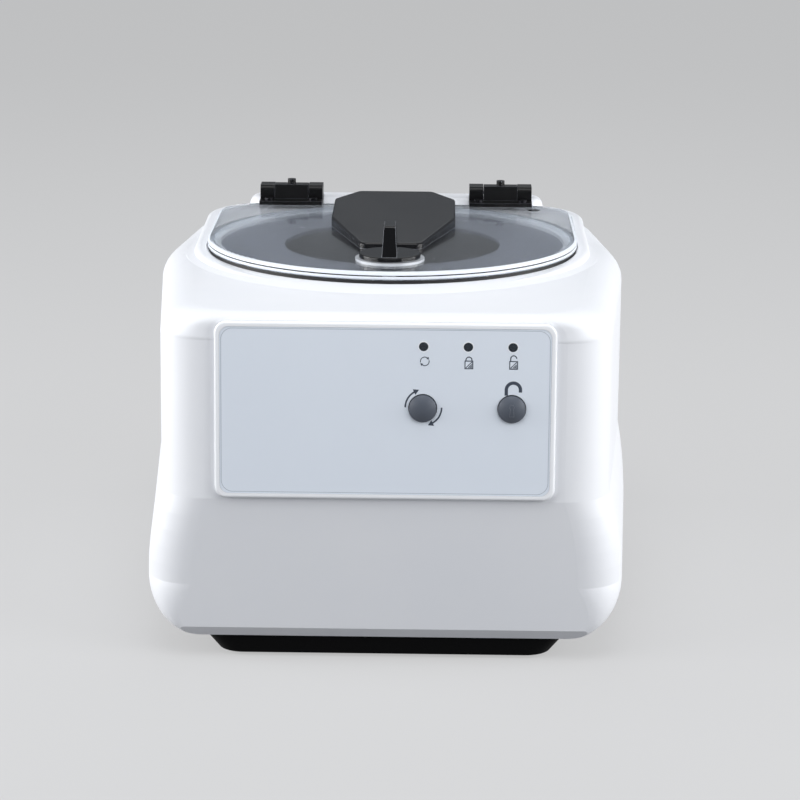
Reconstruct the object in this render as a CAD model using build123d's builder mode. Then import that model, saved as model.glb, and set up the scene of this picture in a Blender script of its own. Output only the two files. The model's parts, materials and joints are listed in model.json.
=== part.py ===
"""Clinical centrifuge: a bench instrument with a clear hinged lid over a six-place angled rotor.

Millimetres. +Z is up, the control panel faces -Y, and the origin is the centre of the base.
"""

import os
from math import atan, copysign, cos, pi, radians, sin, sqrt, tan

from build123d import *

os.makedirs("parts", exist_ok=True)

# Cabinet plan and heights
overall_depth = 363.7
front_half = 122.5
side_half = 140.0
side_y = 16.0
rear_half = 121.0
front_corner = 26.0
side_blend = 200.0
rear_corner = 75.0
bottom_corner = 4.0
base_z = 12.7
widest_z = 44.0
crease_z = 95.0
shoulder_z = 183.0
deck_z = 198.0
wall = 4.0

# Cabinet flanks
flare = 4.5
front_flare = 9.0
bottom_round = 30.0
shoulder_width = 18.0
front_round = 6.0
front_lean = 3.4
lower_lean = 5.0
bevel_z = 18.5
bevel_lean = 32.0

# General clearances, the overlap of joined forms, and the reach of selectors by place
face_gap = 0.3
slip = 0.1
run_gap = 0.05
overlap = 1.0
least_round = 1.0
near = 0.5

# Chamber, lid and collar
chamber_y = 5.0
seat_z = 201.0
seat_r = 111.0
platform_r = 124.0
gasket_thick = 2.0
gasket_inner = 107.0
gasket_outer = 110.6
lid_thick = 5.0
lid_half = 111.0
lid_rear = 115.0
lid_corner = 28.0
lid_edge = 2.0
lid_gap = 1.0
collar_half = 119.0
collar_rear = 125.0
collar_corner = 36.0
collar_front_z = 199.2
collar_rear_z = 206.5
collar_round = 3.5
collar_root = 12.0
gasket_z = seat_z + gasket_thick
lid_z = gasket_z
lid_top = lid_z + lid_thick

# Rear ridge and hinges
ridge_half = 95.0
ridge_front = 121.0
ridge_rear = 150.0
ridge_z = 210.0
ridge_end = 12.0
ridge_round = 6.0
hinge_x = 67.2
hinge_wide = 40.0
knuckle_wide = 9.0
hinge_front = 117.0
hinge_rear = 133.0
hinge_seat_z = 204.0
hinge_top = 219.0
hinge_foot_rear = 137.0
hinge_foot_thick = 3.7
hinge_corner = 3.0
pin_y = 126.0
pin_z = 214.8
pin_r = 1.75
barrel_r = 4.6
leaf_thick = 2.5
leaf_front = 106.0
leaf_block_y = 117.5
bump_r = 2.6
bump_high = 3.2
bracket_screw_z = 208.0
bracket_screw_r = 1.25
bracket_screw_head = 2.6
bracket_screw_end = 146.0
bracket_screw_sunk = 1.6
leaf_screw_x = 14.0
leaf_screw_y = 110.5
leaf_screw_r = 1.5
leaf_screw_head = 2.8
leaf_screw_head_high = 1.6

# Latch cover
cover_front = -38.0
cover_front_half = 18.0
cover_half = 38.0
cover_wide_y = 34.0
cover_chamfer_y = 88.0
cover_rear = 112.0
cover_rear_half = 23.6
cover_front_high = 3.6
cover_rear_high = 9.0
cover_wall = 2.5
cover_corner = 5.0
cover_edge = 1.6

# Latch knob and quarter-turn
knob_y = -70.0
ring_r = 20.0
ring_bore = 8.0
ring_thick = 1.4
knob_r = 17.8
knob_thick = 2.6
fin_top = 229.0
fin_base_thick = 9.0
fin_top_thick = 6.5
fin_base_half = 16.0
fin_top_front = 8.0
fin_top_rear = 10.0
spindle_r = 3.5
stub_r = 2.5
stub_head_r = 4.0
stub_head_thick = 1.6
knob_socket = 9.0
knob_edge = 0.8
fin_round = 1.5
bush_r = 5.1
bush_flange_r = 8.0
bush_flange_thick = 1.4
bar_long = 26.0
bar_wide = 7.0
bar_thick = 4.0
bar_round = 1.75
slot_long = 30.0
slot_wide = 10.6
slot_round = 2.6
strike_long = 44.0
strike_wide = 28.0
strike_thick = 1.5
strike_round = 3.5

# Chamber bowl and guard
bowl_r = 98.0
bowl_wall = 2.0
bowl_floor_z = 92.0
bowl_corner = 10.0
bowl_gap = 0.5
ledge_wide = 5.3
guard_z = 197.0
guard_thick = 2.0
guard_hole_r = 65.0
flange_r = 108.2
flange_thick = 2.0
seal_hole_r = 13.0
seal_lip_r = 16.0
seal_lip_thick = 1.5

# Rotor
rotor_places = 6
rotor_angle = 33.0
socket_r = 40.0
socket_z = 170.0
cone_rim_r = 62.0
cone_thick = 5.0
hub_r = 16.0
hub_bottom_z = 128.0
hub_top_z = 158.0
shield_bore = 8.6
shield_wall = 1.6
shield_deep = 86.0
shield_flange_r = 12.5
shield_flange_thick = 1.5
shaft_r = 4.0
shaft_top_z = 165.0
shaft_bottom_z = 32.0
nut_r = 11.0
nut_high = 11.0
nut_round = 1.0

# Motor and its mounting
plate_half = 70.0
plate_thick = 3.0
isolator_r = 9.0
isolator_high = 22.0
isolator_place = 55.0
motor_r = 40.0
motor_wall = 2.0
motor_high = 47.0
bell_thick = 7.0
bearing_r = 11.0
bearing_high = 7.0
bearing_boss = 2.0
stator_thick = 13.0
stator_gap = 1.0
stator_high = 28.0
armature_high = 24.0
motor_screw_count = 4
motor_screw_r = 2.0
motor_screw_head = 3.5
motor_screw_head_high = 3.0
motor_screw_place = 21.0

# Base pan and feet
pan_half = 96.0
pan_from_front = 13.0
pan_from_rear = 44.0
pan_front_corner = 14.0
pan_rear_corner = 40.0
pan_floor_z = 2.0
pan_sheet = 2.0
pan_rim_z = 18.0
skirt_half = 102.0
skirt_low_half = 93.0
skirt_proud = 0.6
foot_r = 11.0
foot_stem_r = 4.0
foot_x = 70.0
foot_from_front = 19.0
foot_from_rear = 20.0
foot_round = 1.5
post_x = 84.0
post_front = -126.0
post_rear = 88.0
post_r = 6.0
post_top_z = 52.0
rib_thick = 3.0
base_screw_r = 2.0
base_screw_head = 3.6
base_screw_head_high = 1.4
base_screw_deep = 14.0

# Control panel
panel_z = 145.0
panel_wide = 186.0
panel_high = 98.0
panel_corner = 6.5
panel_proud = 3.0
panel_sunk = 0.5
panel_edge = 1.5
rim_wide = 2.8
overlay_thick = 0.4
overlay_sunk = 0.6
window_wide = 166.0
window_high = 80.0
window_corner = 4.0
lamp_x = (20.7, 44.9, 69.1)
lamp_v = 36.2
lamp_r = 2.5
lens_flange_r = 3.5
lens_flange_thick = 1.2
button_x = (20.5, 68.9)
button_v = 2.2
button_r = 7.6
button_out = 6.6
button_dome = 1.2
button_flange_r = 9.6
button_flange_thick = 1.4
button_stem_r = 1.9
button_stem_long = 4.5
board_w = -14.0
board_thick = 1.6
board_wide = 150.0
board_high = 70.0
board_post_x = 70.0
board_post_v = 28.0
board_post_r = 3.0
board_screw_r = 1.4
board_screw_head = 2.6
switch_wide = 10.0
switch_high = 5.5
switch_deep = 4.0
led_r = 1.5

# Lid lock and sensor
bolt_x = 8.0
bolt_wide = 6.0
bolt_thick = 3.4
bolt_z = 193.2
bolt_travel = 14.0
bolt_plate_thick = 2.0
bolt_low_z = 181.0
plunger_z = 184.0
plunger_r = 2.5
plunger_long = 34.0
plunger_bore = 24.0
solenoid_wide = 22.0
solenoid_low_z = 175.0
solenoid_top_z = 192.5
solenoid_front = -150.0
solenoid_rear = -124.0
solenoid_round = 2.0
sensor_x = 88.0
sensor_y = 99.0
sensor_wide = 16.0
sensor_deep = 9.0
sensor_high = 6.0
sensor_round = 1.0
magnet_r = 4.0
magnet_thick = 1.6

# Power parts at the rear
plate_wide = 80.0
plate_high = 44.0
plate_z = 54.0
plate_recess = 10.0
rear_plate_thick = 2.5
ledge = 6.0
frame_margin = 4.0
frame_deep = 8.0
inlet_x = -18.0
inlet_flange_wide = 34.0
inlet_flange_high = 27.0
inlet_flange_thick = 2.0
inlet_body_wide = 28.0
inlet_body_high = 21.0
inlet_body_deep = 26.0
inlet_cavity_wide = 24.5
inlet_cavity_high = 16.5
inlet_cavity_deep = 15.0
inlet_corner = 5.0
blade_wide = 2.0
blade_high = 4.0
blade_long = 12.0
blade_pitch = 7.0
blade_drop = 3.5
fuse_x = 20.0
fuse_r = 6.5
fuse_cap_r = 8.5
fuse_cap_long = 4.5
fuse_long = 26.0
fuse_round = 1.2
rear_screw_r = 1.4
rear_screw_head = 2.6
rear_screw_head_high = 1.4
rear_screw_deep = 6.0
vent_count = 9
vent_pitch = 9.0
vent_wide = 3.0
vent_high = 34.0
vent_z = 128.0
transformer_x = -44.0
transformer_from_rear = 34.0
transformer_wide = 56.0
transformer_deep = 38.0
transformer_high = 44.0
coil_round = 8.0
power_x = 42.0
power_from_rear = 35.0
power_wide = 62.0
power_deep = 46.0
power_post = 6.0
power_post_r = 3.0
power_post_edge = 5.0
capacitor_r = 8.0
capacitor_pitch = 24.0
capacitor_high = 24.0

# Values that follow from the driving sizes
lean = radians(front_lean)
tilt = radians(rotor_angle)
crown_v = button_v - button_r + button_dome
button_reach = (button_out - button_dome) * cos(lean) + button_dome - crown_v * sin(lean)
front_y = button_reach - overall_depth / 2 - (panel_z - crease_z) * tan(lean)
rear_y = overall_depth / 2
root_z = deck_z - wall / 2
upper_rear_y = rear_y - flare
rear_plate_y = rear_y - plate_recess
pan_front = front_y + pan_from_front
pan_rear = rear_y - pan_from_rear
foot_front = pan_front + foot_from_front
foot_rear = pan_rear - foot_from_rear
transformer_y = pan_rear - transformer_from_rear
power_y = pan_rear - power_from_rear
bowl_rim_r = bowl_r + ledge_wide
opening_r = bowl_rim_r + bowl_wall + bowl_gap
base_places = [(sx * post_x, y) for sx in (-1, 1) for y in (post_front, post_rear)]
foot_places = [(sx * foot_x, y) for sx in (-1, 1) for y in (foot_front, foot_rear)]
knob_z = lid_top + ring_thick + face_gap
strike_z = guard_z - strike_thick
bar_top = strike_z - face_gap
bar_z = bar_top - bar_thick
pan_top_z = pan_rim_z + pan_sheet
pan_inside_z = pan_floor_z + pan_sheet
plate_bottom_z = pan_inside_z + isolator_high
motor_z = plate_bottom_z + plate_thick
bell_z = motor_z + motor_high
panel_y = front_y + (panel_z - crease_z) * tan(lean)
panel = Plane(origin=(0, panel_y, panel_z), x_dir=(1, 0, 0), z_dir=(0, -cos(lean), sin(lean)))
outward = Axis(panel.origin, panel.z_dir)
spigot_w = -panel_sunk - wall
chamber = Plane(origin=(0, chamber_y, 0))
deep_cut = 60.0


def front_at(z):
    """Distance of the front face along Y at a height."""
    if z >= crease_z:
        return front_y + (z - crease_z) * tan(lean)
    return front_y + (crease_z - z) * tan(radians(lower_lean))


def body_plan(z, side, nose, front, corner, inset):
    """Plan of the cabinet at a height: drawn in by side at the flanks, nose at the front, inset all round."""
    draw = side + inset
    back = upper_rear_y - draw
    with BuildSketch(Plane.XY.offset(z)) as plan:
        with BuildLine():
            Polyline(
                (-(front_half - nose - inset), front + inset),
                (front_half - nose - inset, front + inset),
                (side_half - draw, side_y),
                (rear_half - draw, back),
                (-(rear_half - draw), back),
                (-(side_half - draw), side_y),
                close=True,
            )
        make_face()
        rows = plan.vertices().group_by(Axis.Y)
        fillet(rows[0], max(corner - inset, least_round))
        rows = plan.vertices().filter_by_position(Axis.Y, side_y - near, side_y + near)
        fillet(rows, side_blend)
        rows = plan.vertices().group_by(Axis.Y)
        fillet(rows[-1], rear_corner - draw)
    return plan.sketch


def upper_form(inset):
    """Upper cabinet, from the crease to the deck, with rounded shoulders."""
    with BuildPart() as straight:
        for z in (crease_z, shoulder_z):
            add(body_plan(z, 0, 0, front_at(z), front_corner, inset))
        loft(ruled=True)
    with BuildPart() as shoulder:
        high = deck_z - inset - shoulder_z
        wide = shoulder_width - inset
        edge = front_round - inset
        for angle in (0, 15, 30, 45, 60, 70, 80, 90):
            z = shoulder_z + high * sin(radians(angle))
            side = wide * (1 - cos(radians(angle)))
            rise = max(0.0, z - (deck_z - inset - edge))
            front = front_at(z) + edge - sqrt(max(0.0, edge**2 - rise**2))
            add(body_plan(z, side, side, front, front_corner, inset))
        loft()
    return straight.part + shoulder.part


def lower_form(inset):
    """Lower cabinet: a flare under the crease and a round turn to the bottom edge."""
    with BuildPart() as flared:
        for step in (0, 0.2, 0.4, 0.6, 0.8, 1.0):
            z = widest_z + (crease_z - widest_z) * step
            spread = 1 - step**2
            add(body_plan(z, -flare * spread, -front_flare * spread, front_at(z), front_corner, inset))
        loft(ruled=True)
    with BuildPart() as turned:
        for angle in (90, 75, 60, 45, 30, 15, 0):
            turn = radians(angle)
            z = widest_z - (widest_z - base_z) * sin(turn)
            draw = bottom_round * (1 - cos(turn))
            corner = front_corner + (bottom_corner - front_corner) * sin(turn)
            add(body_plan(z, draw - flare, draw - front_flare, front_at(z), corner, inset))
        loft()
    return flared.part + turned.part


def lid_plan(plane, grow):
    """Plan of the flat lid: a round front, straight sides and small rear corners."""
    with BuildSketch(plane) as plan:
        with Locations((0, chamber_y)):
            Circle(lid_half + grow)
        with Locations((0, (chamber_y + lid_rear + grow) / 2)):
            Rectangle(2 * (lid_half + grow), lid_rear + grow - chamber_y)
        fillet(plan.vertices().group_by(Axis.Y)[-1], lid_corner)
    return plan.sketch


def ring(outer, inner, low, high, name):
    """A plain ring round the chamber's axis, with its label."""
    with BuildPart() as piece:
        with BuildSketch(chamber.offset(low)):
            Circle(outer)
            Circle(inner, mode=Mode.SUBTRACT)
        extrude(amount=high - low)
    piece.part.label = name
    return piece.part


outer_lower = lower_form(0)
with BuildPart() as upper_shell:
    add(upper_form(0))
    add(upper_form(wall), mode=Mode.SUBTRACT)
with BuildPart() as lower_shell:
    add(outer_lower)
    add(lower_form(wall), mode=Mode.SUBTRACT)

# Tilted collar round the lid, which sinks into the deck at the front
collar_run = collar_rear + collar_half - chamber_y
collar_tilt = atan((collar_rear_z - collar_front_z) / collar_run)
collar_plane = Plane(
    origin=(0, chamber_y - collar_half, collar_front_z),
    x_dir=(1, 0, 0),
    z_dir=(0, -sin(collar_tilt), cos(collar_tilt)),
)
with BuildPart() as collar:
    with BuildSketch(collar_plane.offset(-collar_root)) as collar_plan:
        with Locations((0, collar_half)):
            Circle(collar_half)
        with Locations((0, (collar_half + collar_run) / 2)):
            Rectangle(2 * collar_half, collar_run - collar_half)
        fillet(collar_plan.vertices().group_by(Axis.Y)[-1], collar_corner)
    extrude(amount=collar_root)
    fillet(collar.faces().sort_by(Axis.Z)[-1].edges(), collar_round)
    split(bisect_by=Plane.XY.offset(root_z), keep=Keep.TOP)

# Low round platform that carries the lid's seat
with BuildPart() as platform:
    with BuildSketch(Plane.XZ) as platform_profile:
        with BuildLine():
            Polyline(
                (0, root_z),
                (platform_r, root_z),
                (platform_r, deck_z),
                (seat_r, seat_z),
                (0, seat_z),
                close=True,
            )
        make_face()
    revolve(axis=Axis.Z)
seat_platform = Pos(0, chamber_y, 0) * platform.part

# Ridge across the rear that carries the hinges
with BuildPart() as ridge:
    with BuildSketch(Plane.XY.offset(root_z)):
        with Locations((0, (ridge_front + ridge_rear) / 2)):
            RectangleRounded(2 * ridge_half, ridge_rear - ridge_front, ridge_end)
    extrude(amount=ridge_z - root_z)
    fillet(ridge.faces().sort_by(Axis.Z)[-1].edges(), ridge_round)

# Posts that stand on the base pan and take the base screws, each with a rib to the wall
with BuildPart() as posts:
    with BuildSketch(Plane.XY.offset(pan_inside_z)):
        with Locations(*base_places):
            Circle(post_r)
    extrude(amount=post_top_z - pan_inside_z)
    with BuildSketch(Plane.XY.offset(pan_inside_z)):
        with Locations(*base_places):
            Circle(base_screw_r)
    extrude(amount=base_screw_deep, mode=Mode.SUBTRACT)
rib_start = post_x + post_r - overlap
rib_long = side_half + flare - rib_start
with BuildPart() as ribs:
    with BuildSketch(Plane.XY.offset(pan_top_z)):
        with Locations(*[(copysign(rib_start + rib_long / 2, x), y) for x, y in base_places]):
            Rectangle(rib_long, rib_thick)
    extrude(amount=post_top_z - pan_top_z)

# Frame round the rear plate
with BuildPart() as rear_frame:
    with BuildSketch(Plane.XZ.offset(-rear_plate_y + frame_deep)):
        with Locations((0, plate_z)):
            Rectangle(plate_wide + 2 * frame_margin, plate_high + 2 * frame_margin)
    extrude(amount=-(rear_y - rear_plate_y + frame_deep))

with BuildPart() as solenoid_pad:
    with BuildSketch(Plane.XY.offset(solenoid_top_z)):
        with Locations((bolt_x, (solenoid_front + solenoid_rear) / 2)):
            Rectangle(solenoid_wide, solenoid_rear - solenoid_front)
    extrude(amount=deck_z - wall + overlap - solenoid_top_z)

bowl_outer = bowl_r + bowl_wall
bowl_front_y = chamber_y - bowl_outer
bolt_plate_y = bowl_front_y - face_gap - bolt_travel - bolt_plate_thick
bracket_screws_at = [
    (sx * hinge_x + sk * (hinge_wide - knuckle_wide) / 2, bracket_screw_z) for sx in (-1, 1) for sk in (-1, 1)
]
plate_corners = [
    (sx * (plate_wide - ledge) / 2, plate_z + sz * (plate_high - ledge) / 2) for sx in (-1, 1) for sz in (-1, 1)
]
with BuildPart() as housing:
    add(upper_shell.part)
    add(lower_shell.part)
    add(seat_platform)
    add(collar.part)
    add(ridge.part)
    add(posts.part)
    add(ribs.part & outer_lower)
    add(rear_frame.part & outer_lower)
    add(solenoid_pad.part)
    # Pocket for the lid, opening for the bowl and the seat for its flange
    add(lid_plan(Plane.XY.offset(seat_z), lid_gap))
    extrude(amount=deep_cut, mode=Mode.SUBTRACT)
    with BuildSketch(chamber.offset(deck_z - deep_cut)):
        Circle(opening_r)
    extrude(amount=2 * deep_cut, mode=Mode.SUBTRACT)
    with BuildSketch(chamber.offset(seat_z - flange_thick)):
        Circle(flange_r + slip)
    extrude(amount=deep_cut, mode=Mode.SUBTRACT)
    # Pockets for the hinge brackets
    with BuildSketch(Plane.XY.offset(hinge_seat_z)):
        with Locations((-hinge_x, (lid_rear + hinge_foot_rear) / 2), (hinge_x, (lid_rear + hinge_foot_rear) / 2)):
            Rectangle(hinge_wide + 2 * face_gap, hinge_foot_rear + face_gap - lid_rear)
    extrude(amount=deep_cut, mode=Mode.SUBTRACT)
    with BuildSketch(Plane.XZ.offset(-hinge_foot_rear)):
        with Locations(*bracket_screws_at):
            Circle(bracket_screw_r + slip)
    extrude(amount=-(bracket_screw_end + face_gap - hinge_foot_rear), mode=Mode.SUBTRACT)
    # Groove for the lock bolt under the deck
    with BuildSketch(Plane.XZ.offset(-bolt_plate_y + face_gap)):
        with Locations((bolt_x, bolt_z)):
            Rectangle(bolt_wide + 2 * face_gap, bolt_thick + 2 * face_gap)
    extrude(amount=-(bowl_front_y - bolt_plate_y), mode=Mode.SUBTRACT)
    # Seat and window for the control panel
    with BuildSketch(panel.offset(-panel_sunk)):
        RectangleRounded(panel_wide + 2 * slip, panel_high + 2 * slip, panel_corner + slip)
    extrude(amount=deep_cut, mode=Mode.SUBTRACT)
    with BuildSketch(panel.offset(-2 * wall)):
        RectangleRounded(window_wide, window_high, window_corner)
    extrude(amount=deep_cut, mode=Mode.SUBTRACT)
    # Recess and window for the rear plate
    with BuildSketch(Plane.XZ.offset(-rear_plate_y)):
        with Locations((0, plate_z)):
            Rectangle(plate_wide + 2 * face_gap, plate_high + 2 * face_gap)
    extrude(amount=-deep_cut, mode=Mode.SUBTRACT)
    with BuildSketch(Plane.XZ.offset(-rear_plate_y + deep_cut / 2)):
        with Locations((0, plate_z)):
            Rectangle(plate_wide - 2 * ledge, plate_high - 2 * ledge)
    extrude(amount=-deep_cut, mode=Mode.SUBTRACT)
    with BuildSketch(Plane.XZ.offset(-rear_plate_y)):
        with Locations(*plate_corners):
            Circle(rear_screw_r + slip)
    extrude(amount=rear_screw_deep + face_gap, mode=Mode.SUBTRACT)
    # Slots that let the motor's air out at the rear
    with BuildSketch(Plane.XZ.offset(-upper_rear_y + deep_cut / 2)):
        with Locations((0, vent_z)):
            with GridLocations(vent_pitch, 0, vent_count, 1):
                SlotOverall(vent_high, vent_wide, rotation=90)
    extrude(amount=-deep_cut, mode=Mode.SUBTRACT)
    # Bevel under the front face
    bevel_plane = Plane(
        origin=(0, front_at(bevel_z), bevel_z),
        x_dir=(1, 0, 0),
        z_dir=(0, -cos(radians(bevel_lean)), -sin(radians(bevel_lean))),
    )
    split(bisect_by=bevel_plane, keep=Keep.BOTTOM)
housing.part.label = "housing"
export_step(housing.part, "parts/housing.step")


def tub_plan(z, half, inset):
    """Plan of the tub that makes the black base, with larger corners at the rear."""
    with BuildSketch(Plane.XY.offset(z)) as plan:
        with Locations((0, (pan_front + pan_rear) / 2)):
            Rectangle(2 * (half - inset), pan_rear - pan_front - 2 * inset)
        rows = plan.vertices().group_by(Axis.Y)
        fillet(rows[0], pan_front_corner - inset)
        rows = plan.vertices().group_by(Axis.Y)
        fillet(rows[-1], pan_rear_corner - inset)
    return plan.sketch


# Base pan: a flange inside the cabinet's bottom edge, a neck under it, and a skirt that widens up to the edge
rim_draw = bottom_round * (1 - sqrt(1 - ((widest_z - pan_rim_z) / (widest_z - base_z)) ** 2))
rim_corner = bottom_corner + wall
skirt_top_z = base_z - face_gap
with BuildPart() as skirt:
    add(tub_plan(pan_floor_z, skirt_low_half, -skirt_proud))
    add(tub_plan(skirt_top_z, skirt_half, -skirt_proud))
    loft()
with BuildPart() as base_pan:
    add(
        body_plan(
            pan_rim_z, rim_draw - flare, rim_draw - front_flare, front_at(pan_rim_z), rim_corner, wall + face_gap
        )
    )
    extrude(amount=pan_sheet)
    add(tub_plan(skirt_top_z - pan_sheet, pan_half, 0))
    extrude(amount=pan_rim_z - skirt_top_z + pan_sheet)
    add(skirt.part)
    add(tub_plan(pan_inside_z, skirt_low_half, pan_sheet))
    extrude(amount=deep_cut, mode=Mode.SUBTRACT)
    # Posts under the power board
    with BuildSketch(Plane.XY.offset(pan_inside_z)):
        with Locations((power_x, power_y)):
            with GridLocations(power_wide - 2 * power_post_edge, power_deep - 2 * power_post_edge, 2, 2):
                Circle(power_post_r)
    extrude(amount=power_post)
    with BuildSketch(Plane.XY.offset(pan_floor_z)):
        with Locations(*foot_places):
            Circle(foot_stem_r)
        with Locations(*base_places):
            Circle(base_screw_r + slip)
    extrude(amount=pan_sheet, mode=Mode.SUBTRACT)
base_pan.part.label = "base_pan"
export_step(base_pan.part, "parts/base_pan.step")

with BuildPart() as rubber_feet:
    with BuildSketch(Plane.XY):
        with Locations(*foot_places):
            Circle(foot_r)
    extrude(amount=pan_floor_z)
    fillet(rubber_feet.faces().group_by(Axis.Z)[0].edges(), foot_round)
    with BuildSketch(Plane.XY.offset(pan_floor_z)):
        with Locations(*foot_places):
            Circle(foot_stem_r - slip)
    extrude(amount=pan_sheet)
rubber_feet.part.label = "rubber_feet"
export_step(rubber_feet.part, "parts/rubber_feet.step")

with BuildPart() as base_screws:
    with BuildSketch(Plane.XY.offset(pan_floor_z - base_screw_head_high)):
        with Locations(*base_places):
            Circle(base_screw_head)
    extrude(amount=base_screw_head_high)
    with BuildSketch(Plane.XY.offset(pan_floor_z)):
        with Locations(*base_places):
            Circle(base_screw_r - slip)
    extrude(amount=pan_sheet + base_screw_deep - face_gap)
base_screws.part.label = "base_screws"
export_step(base_screws.part, "parts/base_screws.step")

# Control panel
lamp_places = [(x, lamp_v) for x in lamp_x]
button_places = [(x, button_v) for x in button_x]
board_posts = [(sx * board_post_x, sv * board_post_v) for sx in (-1, 1) for sv in (-1, 1)]
overlay_w = panel_proud - overlay_sunk
with BuildPart() as panel_bezel:
    with BuildSketch(panel.offset(-panel_sunk)):
        RectangleRounded(panel_wide, panel_high, panel_corner)
    extrude(amount=panel_sunk + panel_proud)
    fillet(panel_bezel.faces().sort_by(outward)[-1].edges(), panel_edge)
    with BuildSketch(panel.offset(overlay_w)):
        RectangleRounded(
            panel_wide - 2 * rim_wide, panel_high - 2 * rim_wide, panel_corner - rim_wide / 2
        )
    extrude(amount=deep_cut, mode=Mode.SUBTRACT)
    with BuildSketch(panel.offset(spigot_w)):
        RectangleRounded(window_wide - 2 * face_gap, window_high - 2 * face_gap, window_corner)
    extrude(amount=wall)
    with BuildSketch(panel.offset(board_w)):
        with Locations(*board_posts):
            Circle(board_post_r)
    extrude(amount=spigot_w - board_w)
    with BuildSketch(panel.offset(board_w)):
        with Locations(*board_posts):
            Circle(board_screw_r + slip)
    extrude(amount=spigot_w - board_w, mode=Mode.SUBTRACT)
    with BuildSketch(panel.offset(spigot_w)):
        with Locations(*lamp_places):
            Circle(lamp_r + slip)
        with Locations(*button_places):
            Circle(button_r + face_gap)
    extrude(amount=deep_cut, mode=Mode.SUBTRACT)
panel_bezel.part.label = "panel_bezel"
export_step(panel_bezel.part, "parts/panel_bezel.step")

with BuildPart() as panel_overlay:
    with BuildSketch(panel.offset(overlay_w)):
        RectangleRounded(
            panel_wide - 2 * (rim_wide + slip), panel_high - 2 * (rim_wide + slip), panel_corner - rim_wide / 2
        )
        with Locations(*lamp_places):
            Circle(lamp_r + slip, mode=Mode.SUBTRACT)
        with Locations(*button_places):
            Circle(button_r + face_gap, mode=Mode.SUBTRACT)
    extrude(amount=overlay_thick)
panel_overlay.part.label = "panel_overlay"
export_step(panel_overlay.part, "parts/panel_overlay.step")

with BuildPart() as indicator_lenses:
    with BuildSketch(panel.offset(spigot_w - lens_flange_thick)):
        with Locations(*lamp_places):
            Circle(lens_flange_r)
    extrude(amount=lens_flange_thick)
    with BuildSketch(panel.offset(spigot_w)):
        with Locations(*lamp_places):
            Circle(lamp_r)
    extrude(amount=overlay_w + overlay_thick - spigot_w)
indicator_lenses.part.label = "indicator_lenses"
export_step(indicator_lenses.part, "parts/indicator_lenses.step")

lens_back_w = spigot_w - lens_flange_thick
with BuildPart() as indicator_lamps:
    with BuildSketch(panel.offset(board_w)):
        with Locations(*lamp_places):
            Circle(led_r)
    extrude(amount=lens_back_w - face_gap - board_w)
indicator_lamps.part.label = "indicator_lamps"
export_step(indicator_lamps.part, "parts/indicator_lamps.step")

with BuildPart() as control_board:
    with BuildSketch(panel.offset(board_w - board_thick)):
        RectangleRounded(board_wide, board_high, board_post_r)
        with Locations(*board_posts):
            Circle(board_screw_r + slip, mode=Mode.SUBTRACT)
    extrude(amount=board_thick)
control_board.part.label = "control_board"
export_step(control_board.part, "parts/control_board.step")

with BuildPart() as board_screws:
    with BuildSketch(panel.offset(board_w - 2 * board_thick)):
        with Locations(*board_posts):
            Circle(board_screw_head)
    extrude(amount=board_thick)
    with BuildSketch(panel.offset(board_w - board_thick)):
        with Locations(*board_posts):
            Circle(board_screw_r)
    extrude(amount=spigot_w - face_gap - board_w + board_thick)
board_screws.part.label = "board_screws"
export_step(board_screws.part, "parts/board_screws.step")

with BuildPart() as button_switches:
    with BuildSketch(panel.offset(board_w)):
        with Locations(*button_places):
            Rectangle(switch_wide, switch_wide)
    extrude(amount=switch_high)
    with BuildSketch(panel.offset(board_w + switch_high - switch_deep)):
        with Locations(*button_places):
            Circle(button_stem_r + slip)
    extrude(amount=switch_deep, mode=Mode.SUBTRACT)
button_switches.part.label = "button_switches"
export_step(button_switches.part, "parts/button_switches.step")

for name, x in zip(("start_button", "unlock_button"), button_x):
    with BuildPart() as button:
        with BuildSketch(panel.offset(spigot_w)):
            with Locations((x, button_v)):
                Circle(button_r)
        extrude(amount=button_out - spigot_w)
        crown = button.edges().sort_by(outward)[-1]
        fillet(crown, button_dome)
        with BuildSketch(panel.offset(spigot_w - button_flange_thick)):
            with Locations((x, button_v)):
                Circle(button_flange_r)
        extrude(amount=button_flange_thick)
        with BuildSketch(panel.offset(spigot_w - button_flange_thick - button_stem_long)):
            with Locations((x, button_v)):
                Circle(button_stem_r)
        extrude(amount=button_stem_long)
    button.part.label = name
    export_step(button.part, f"parts/{name}.step")

# Chamber bowl, hung by its flange in the deck
flange_z = seat_z - flange_thick
ledge_z = guard_z - bowl_wall + slip
with BuildPart() as bowl_blank:
    with BuildSketch(Plane.XZ) as bowl_profile:
        with BuildLine():
            Polyline(
                (seal_hole_r, bowl_floor_z),
                (bowl_r, bowl_floor_z),
                (bowl_r, guard_z),
                (bowl_rim_r, guard_z),
                (bowl_rim_r, seat_z),
                (flange_r, seat_z),
                (flange_r, flange_z),
                (bowl_rim_r + bowl_wall, flange_z),
                (bowl_rim_r + bowl_wall, ledge_z),
                (bowl_outer, ledge_z),
                (bowl_outer, bowl_floor_z - bowl_wall),
                (seal_hole_r, bowl_floor_z - bowl_wall),
                close=True,
            )
        make_face()
        inner = bowl_profile.vertices().filter_by_position(Axis.X, bowl_r - near, bowl_r + near)
        fillet(inner.sort_by(Axis.Y)[0], bowl_corner)
        outer = bowl_profile.vertices().filter_by_position(Axis.X, bowl_outer - near, bowl_outer + near)
        fillet(outer.sort_by(Axis.Y)[0], bowl_corner + bowl_wall)
    revolve(axis=Axis.Z)
bowl_form = Pos(0, chamber_y, 0) * bowl_blank.part
with BuildPart() as chamber_bowl:
    add(bowl_form)
    # Slot for the lock bolt in the front wall
    with BuildSketch(Plane.XZ.offset(-chamber_y + bowl_r - bowl_corner)):
        with Locations((bolt_x, bolt_z)):
            Rectangle(bolt_wide + 2 * face_gap, bolt_thick + 2 * face_gap)
    extrude(amount=2 * bowl_corner, mode=Mode.SUBTRACT)
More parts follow.
